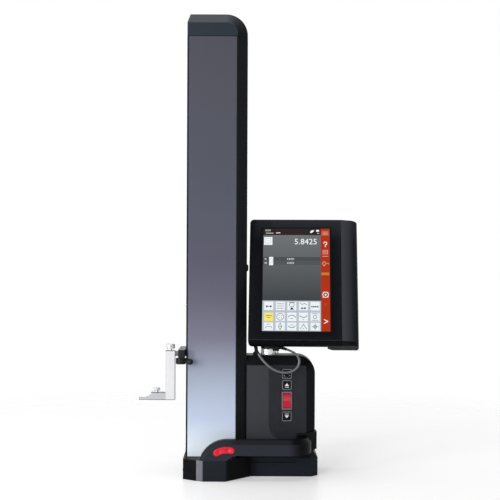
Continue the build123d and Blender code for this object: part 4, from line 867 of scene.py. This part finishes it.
DISPLAY = (Matrix.Translation((DISPLAY_ORIGIN.x, 0, 0)) @ Matrix.Rotation(-DISPLAY_YAW, 4, "Z")
           @ Matrix.Translation((0, DISPLAY_ORIGIN.y, DISPLAY_ORIGIN.z))
           @ Matrix.Rotation(-DISPLAY_LEAN, 4, "X"))
BACK = (0.30, 0.22)
MID = (0.22, 0.16)
TOP = (0.16, 0.10)


class Picture:
    """The display's picture: thin closed shapes, one mesh for each colour and depth."""

    def __init__(self):
        self.meshes = {}

    def into(self, colour, depth):
        return self.meshes.setdefault((colour, depth), bmesh.new())

    @staticmethod
    def spot(u, v):
        return -11.2 + 0.987 * u, 217.0 - v

    def block(self, colour, depth, u0, u1, v0, v1):
        (x0, z1), (x1, z0) = self.spot(u0, v0), self.spot(u1, v1)
        slab(self.into(colour, depth), (x0, x1), (z0, z1), depth)

    def line(self, colour, depth, width, *points):
        stroke(self.into(colour, depth), [self.spot(u, v) for u, v in points], width, depth)

    def shape(self, colour, depth, *points):
        polygon(self.into(colour, depth), [self.spot(u, v) for u, v in points], depth)

    def ring(self, colour, depth, width, u, v, radius):
        x, z = self.spot(u, v)
        stroke(self.into(colour, depth), arc(x, z, radius, 0, 360, 20), width, depth)

    def disc(self, colour, depth, u, v, radius):
        x, z = self.spot(u, v)
        polygon(self.into(colour, depth), arc(x, z, radius, 0, 342, 19), depth)

    def text(self, colour, words, u, v, height, depth=MID):
        """Figures whose left foot is at u, v."""
        curve = bpy.data.curves.new("figures", "FONT")
        curve.body = words
        curve.size = height / 0.70
        curve.resolution_u = 3
        holder = bpy.data.objects.new("figures", curve)
        scene.collection.objects.link(holder)
        bpy.context.view_layer.update()
        mesh = bpy.data.meshes.new_from_object(holder)
        x, z = self.spot(u, v)
        flat = bmesh.new()
        flat.from_mesh(mesh)
        bmesh.ops.remove_doubles(flat, verts=flat.verts, dist=0.0001)
        upright = Matrix.Translation((x, depth[0], z)) @ Matrix.Rotation(radians(90), 4, "X")
        bmesh.ops.transform(flat, verts=flat.verts, matrix=upright)
        grown = bmesh.ops.extrude_face_region(flat, geom=flat.faces[:])
        moved = [item for item in grown["geom"] if isinstance(item, bmesh.types.BMVert)]
        bmesh.ops.translate(flat, verts=moved, vec=(0, depth[1] - depth[0], 0))
        flat.to_mesh(mesh)
        flat.free()
        self.into(colour, depth).from_mesh(mesh)
        bpy.data.objects.remove(holder)
        bpy.data.curves.remove(curve)
        bpy.data.meshes.remove(mesh)

    def place(self):
        for (colour, depth), bm in self.meshes.items():
            level = {BACK: "back", MID: "mid", TOP: "top"}.get(depth, "front")
            piece(f"picture_{colour}_{level}", bm, "display", PAINT[colour], matrix=DISPLAY)


def picture():
    view = Picture()
    view.block("dark", BACK, 0, 117.2, 0, 13.9)
    view.block("grey", BACK, 0, 117.2, 13.9, 152.4)
    view.block("keypad", BACK, 0, 117.2, 152.4, 214.6)
    view.block("orange", BACK, 117.2, 135.6, 0, 214.6)

    # status bar
    view.text("white", "10:24", 3.0, 5.6, 3.6)
    view.line("white", MID, 1.0, (5.5, 9.9), (20.0, 9.9))
    view.line("white", MID, 1.4, (26.5, 9.4), (34.0, 9.0))
    view.shape("white", MID, (95.2, 8.0), (98.0, 4.0), (104.2, 2.8), (102.0, 7.2), (97.6, 9.4))
    view.block("white", MID, 108.0, 114.0, 2.6, 6.4)
    view.line("white", MID, 1.0, (110.5, 9.8), (114.0, 9.8))

    # measured feature, shown as a plane on its rest, beside its value
    view.block("white", MID, 1.6, 18.6, 18.4, 35.2)
    view.line("keypad", TOP, 0.8, (4.6, 21.6), (15.6, 21.6), (15.6, 30.6), (4.6, 30.6), (4.6, 21.6))
    view.line("keypad", TOP, 0.8, (7.4, 26.4), (12.8, 26.4))
    view.line("keypad", TOP, 0.7, (4.6, 32.8), (15.6, 32.8))
    view.text("white", "5.8425", 63.4, 33.6, 11.9)

    # rows of earlier readings
    rows = (("band", 61.0, 69.2, "01", "5.8425"), ("bandlow", 69.6, 77.6, "02", "0.0075"))
    for colour, low, high, label, value in rows:
        view.block(colour, MID, 0, 117.2, low, high)
        view.text("white", label, 3.0, high - 2.4, 3.4, TOP)
        view.text("white", value, 48.8, high - 2.2, 3.7, TOP)
    view.block("white", TOP, 12.4, 20.6, 61.0, 78.4)
    front = (TOP[1], TOP[1] - 0.05)
    view.line("keypad", front, 0.8, (14.2, 65.0), (18.8, 65.0), (18.8, 74.0), (14.2, 74.0), (14.2, 65.0))

    keys(view)
    strip(view)
    view.place()
    bm = bmesh.new()
    polygon(bm, arc(9.2, 229.8, 0.8, 0, 342, 19), (0.0, -0.15))
    piece("status_light", bm, "display", PAINT["band"], matrix=DISPLAY)


def keys(view):
    """Five by three pale keys with line drawings of what each one measures."""
    columns = (12.8, 36.0, 59.0, 82.2, 105.4)
    rows = ((163.4, 8.8), (185.6, 8.7), (205.2, 8.0))
    for r, (v, half) in enumerate(rows):
        for c, u in enumerate(columns):
            colour = "yellow" if (r, c) == (1, 0) else "pale"
            view.block(colour, MID, u - 9.1, u + 9.1, v - half, v + half)
    top, mid, low = (v for v, half in rows)
    a, b, c, d, e = columns

    def arrows(u, v, half):
        view.shape("black", TOP, (u - half, v), (u - half + 3.6, v - 2.8), (u - half + 3.6, v + 2.8))
        view.shape("black", TOP, (u + half, v), (u + half - 3.6, v + 2.8), (u + half - 3.6, v - 2.8))
        view.line("black", TOP, 1.2, (u - half + 3.4, v), (u + half - 3.4, v))

    def bow(u, v, radius, start, end, width=0.9):
        x, z = view.spot(u, v)
        stroke(view.into("ink", TOP), arc(x, z, radius, start, end, 14), width, TOP)

    arrows(a, top + 1.0, 6.4)
    for step in (-4.4, 0.2, 4.8):
        view.line("ink", TOP, 0.9, (b - 6.6, top + step), (b + 6.6, top + step))
    bow(c, top - 2.6, 4.6, 0, 360)
    view.line("ink", TOP, 0.8, (c - 5.4, top - 7.6), (c + 5.4, top - 7.6))
    view.shape("black", TOP, (c, top + 2.6), (c - 4.6, top + 7.2), (c + 4.6, top + 7.2))
    view.line("ink", TOP, 0.9, (d - 7.0, top - 6.0), (d - 2.0, top - 3.4),
              (d + 2.0, top - 5.6), (d + 6.6, top - 2.6))
    arrows(d, top + 4.4, 5.6)
    for step in (-6.0, -2.2, 1.6, 5.4):
        view.block("black", TOP, e + step - 1.3, e + step + 1.3, top - 0.2, top + 2.4)
    view.line("black", TOP, 0.6, (e - 7.4, top + 1.1), (e + 7.4, top + 1.1))

    view.line("ink", TOP, 1.0, (a - 5.6, mid - 2.4), (a + 5.6, mid - 2.4))
    view.line("ink", TOP, 1.0, (a - 3.0, mid + 1.4), (a + 3.0, mid + 1.4))
    bow(b, mid, 7.0, 0, 360)
    for u, v in ((-2.4, -2.4), (2.4, -2.4), (-2.4, 2.4), (2.4, 2.4)):
        view.disc("ink", TOP, b + u, mid + v, 0.8)
    bow(c, mid + 5.0, 8.4, 30, 150, 1.1)
    view.line("ink", TOP, 0.8, (c - 3.0, mid + 3.4), (c + 3.0, mid + 3.4))
    bow(d, mid - 7.6, 8.6, 215, 325, 1.1)
    view.disc("ink", TOP, d, mid + 5.4, 0.8)
    view.line("ink", TOP, 0.9, (e - 5.8, mid - 6.6), (e + 5.8, mid - 6.6))
    view.line("ink", TOP, 0.9, (e - 5.8, mid + 6.6), (e + 5.8, mid + 6.6))
    bow(e, mid, 3.4, 0, 360)

    view.line("ink", TOP, 0.8, (a - 3.4, low - 4.4), (a + 3.4, low - 4.4))
    view.line("ink", TOP, 0.8, (a - 5.6, low + 3.6), (a - 5.6, low + 0.4),
              (a + 5.6, low + 0.4), (a + 5.6, low + 3.6))
    view.line("ink", TOP, 1.0, (b, low - 6.6), (b + 3.6, low), (b, low + 6.6), (b - 3.6, low), (b, low - 6.6))
    view.disc("black", TOP, b, low, 1.1)
    bow(c, low - 6.0, 8.4, 215, 325, 1.1)
    view.line("ink", TOP, 0.8, (c - 3.0, low - 3.0), (c + 3.0, low - 3.0))
    view.line("ink", TOP, 0.9, (d - 6.4, low + 4.6), (d, low - 4.4), (d + 6.4, low + 4.6))
    view.disc("ink", TOP, d, low + 4.0, 0.8)
    view.line("ink", TOP, 0.8, (e - 6.6, low), (e + 6.6, low))
    view.line("ink", TOP, 0.8, (e, low - 6.6), (e, low + 6.6))
    bow(e, low, 3.0, 0, 360)


def strip(view):
    """Controls down the right-hand edge."""
    u = 126.6
    view.block("menu", MID, 118.4, 134.4, 4.6, 15.4)
    for v in (7.2, 9.9, 12.6):
        view.line("rose", TOP, 0.8, (u - 5.0, v), (u + 5.0, v))
    hook = [(u + x, 31.6 - z) for x, z in arc(0, 0, 3.1, 175, -55, 10)]
    view.line("white", MID, 1.4, *hook, (u, 34.6), (u, 36.0))
    view.disc("white", MID, u, 38.4, 1.0)
    view.line("rose", MID, 1.1, (u - 4.8, 46.4), (u + 4.8, 46.4), (u + 4.8, 54.0),
              (u - 4.8, 54.0), (u - 4.8, 46.4))
    view.line("rose", MID, 0.9, (u - 2.8, 49.0), (u + 2.8, 49.0))
    view.line("rose", MID, 0.9, (u - 2.8, 51.4), (u + 2.8, 51.4))
    view.line("rose", MID, 1.2, (u - 5.4, 59.0), (u + 5.4, 59.0))
    view.line("rose", MID, 1.1, (u - 2.6, 69.8), (u + 1.6, 74.6), (u - 2.6, 79.4),
              (u - 6.6, 74.6), (u - 2.6, 69.8))
    view.line("rose", MID, 1.0, (u + 3.4, 73.6), (u + 6.8, 75.4))
    view.block("amber", MID, 118.4, 134.2, 93.6, 98.8)
    view.line("menu", TOP, 0.8, (120.0, 96.2), (132.6, 96.2))
    view.ring("white", MID, 1.2, u, 139.7, 5.6)
    view.disc("white", TOP, u, 139.7, 1.9)
    for turn in (45, 135, 225, 315):
        x, z = cos(radians(turn)), sin(radians(turn))
        view.line("white", TOP, 1.2, (u + 5.2 * x, 139.7 + 5.2 * z), (u + 7.2 * x, 139.7 + 7.2 * z))
    view.line("menu", MID, 0.9, (u - 2.4, 158.0), (u, 163.0), (u + 2.4, 158.0))
    view.line("white", MID, 1.5, (u - 3.0, 190.6), (u + 4.0, 194.4), (u - 3.0, 198.4))


def trim_screws():
    """Small domed screws that show at the column's edges and on the foot."""
    bm = bmesh.new()
    for z in (341.0, 53.0):
        for y in (-46.0, 46.0):
            domed_screw(bm, along((-60.0, y, z), (-1, 0, 0)), 3.4, 1.8)
    piece("trim_screws", bm, "base", FINISHES["bearing_steel"], angle=35)
    bm = bmesh.new()
    domed_screw(bm, along((60.0, -26.0, 414.0), (1, 0, 0)), 7.2, 3.0)
    domed_screw(bm, along((-64.0, -58.0, 14.0), (-1, 0, 0)), 3.4, 1.6)
    piece("side_caps", bm, "base", FINISHES["arm_black"], angle=35)


# ---- stage --------------------------------------------------------------------------------------
def floor():
    """Pale ground that fades into the white behind it and keeps the object's shadow."""
    bm = bmesh.new()
    bmesh.ops.create_circle(bm, cap_ends=True, segments=96, radius=4000)
    ground = piece("floor", bm, None, None)
    ground.location.z = -0.0002
    finish = Finish("floor", Specular_IOR_Level=0.25)
    x, y = finish.axis("X"), finish.axis("Y")
    reach = finish.node("ShaderNodeMath", {"operation": "SQRT"}, {0: (x - 0.07) * (x - 0.07) + y * y})
    fade = ((reach - 0.35) / 0.9).clamped()
    finish.into("Base Color",
                finish.blend(finish.noise(0.3) * 0.4, (0.97, 0.97, 0.97, 1), (0.93, 0.93, 0.94, 1)))
    finish.into("Roughness", 0.34 + finish.noise(0.05) * 0.08)
    finish.shader.inputs["Emission Color"].default_value = (1, 1, 1, 1)
    finish.shader.inputs["Emission Strength"].default_value = 0.33
    clear = finish.tree.nodes.new("ShaderNodeBsdfTransparent")
    mix = finish.tree.nodes.new("ShaderNodeMixShader")
    finish.tree.links.new(fade.socket, mix.inputs[0])
    finish.tree.links.new(finish.shader.outputs[0], mix.inputs[1])
    finish.tree.links.new(clear.outputs[0], mix.inputs[2])
    finish.tree.links.new(mix.outputs[0], finish.tree.nodes["Material Output"].inputs[0])
    ground.data.materials.clear()
    ground.data.materials.append(finish.material)


def lamp(name, place, target, size, power, colour=(1, 1, 1)):
    light = bpy.data.lights.new(name, "AREA")
    light.shape = "RECTANGLE"
    light.size, light.size_y = size
    light.energy = power
    light.color = colour
    obj = bpy.data.objects.new(name, light)
    obj.location = place
    way = Vector(target) - Vector(place)
    obj.rotation_euler = way.to_track_quat("-Z", "Y").to_euler()
    scene.collection.objects.link(obj)


def light():
    lamp("key", (-1.5, -3.0, 0.8), (0.0, 0, 0.45), (0.9, 2.2), 50)
    lamp("strip", (-2.46, -1.86, 0.6), (0.0, 0, 0.3), (0.34, 1.8), 34)
    lamp("left", (-2.6, 0.6, 0.9), (0, 0, 0.4), (1.0, 1.9), 7)
    lamp("top", (0.0, -0.3, 2.9), (0.05, 0, 0), (1.8, 1.4), 16)
    world = bpy.data.worlds.new("studio")
    world.use_nodes = True
    scene.world = world
    nodes, links = world.node_tree.nodes, world.node_tree.links
    rays = nodes.new("ShaderNodeLightPath")
    way = nodes.new("ShaderNodeTexCoord")
    parts = nodes.new("ShaderNodeSeparateXYZ")
    links.new(way.outputs["Generated"], parts.inputs[0])
    side = nodes.new("ShaderNodeMapRange")
    side.inputs["From Min"].default_value = 0.75
    side.inputs["From Max"].default_value = -0.55
    side.inputs["To Min"].default_value = 0.05
    side.inputs["To Max"].default_value = 0.5
    links.new(parts.outputs["X"], side.inputs["Value"])
    shade = nodes.new("ShaderNodeMix")
    shade.data_type = "RGBA"
    shade.inputs[7].default_value = (1, 1, 1, 1)
    shown = rays.outputs["Is Camera Ray"]
    for ray in ("Is Glossy Ray", "Is Transmission Ray"):
        either = nodes.new("ShaderNodeMath")
        either.use_clamp = True
        links.new(shown, either.inputs[0])
        links.new(rays.outputs[ray], either.inputs[1])
        shown = either.outputs[0]
    links.new(shown, shade.inputs[0])
    links.new(side.outputs[0], shade.inputs[6])
    links.new(shade.outputs[2], nodes["Background"].inputs["Color"])
    scene.view_settings.view_transform = "Standard"


display_cable()
finish_nodes()
thumb_screws()
lever()
air_key()
cover_screws()
key_panel()
key_marks()
picture()
trim_screws()
floor()
light()
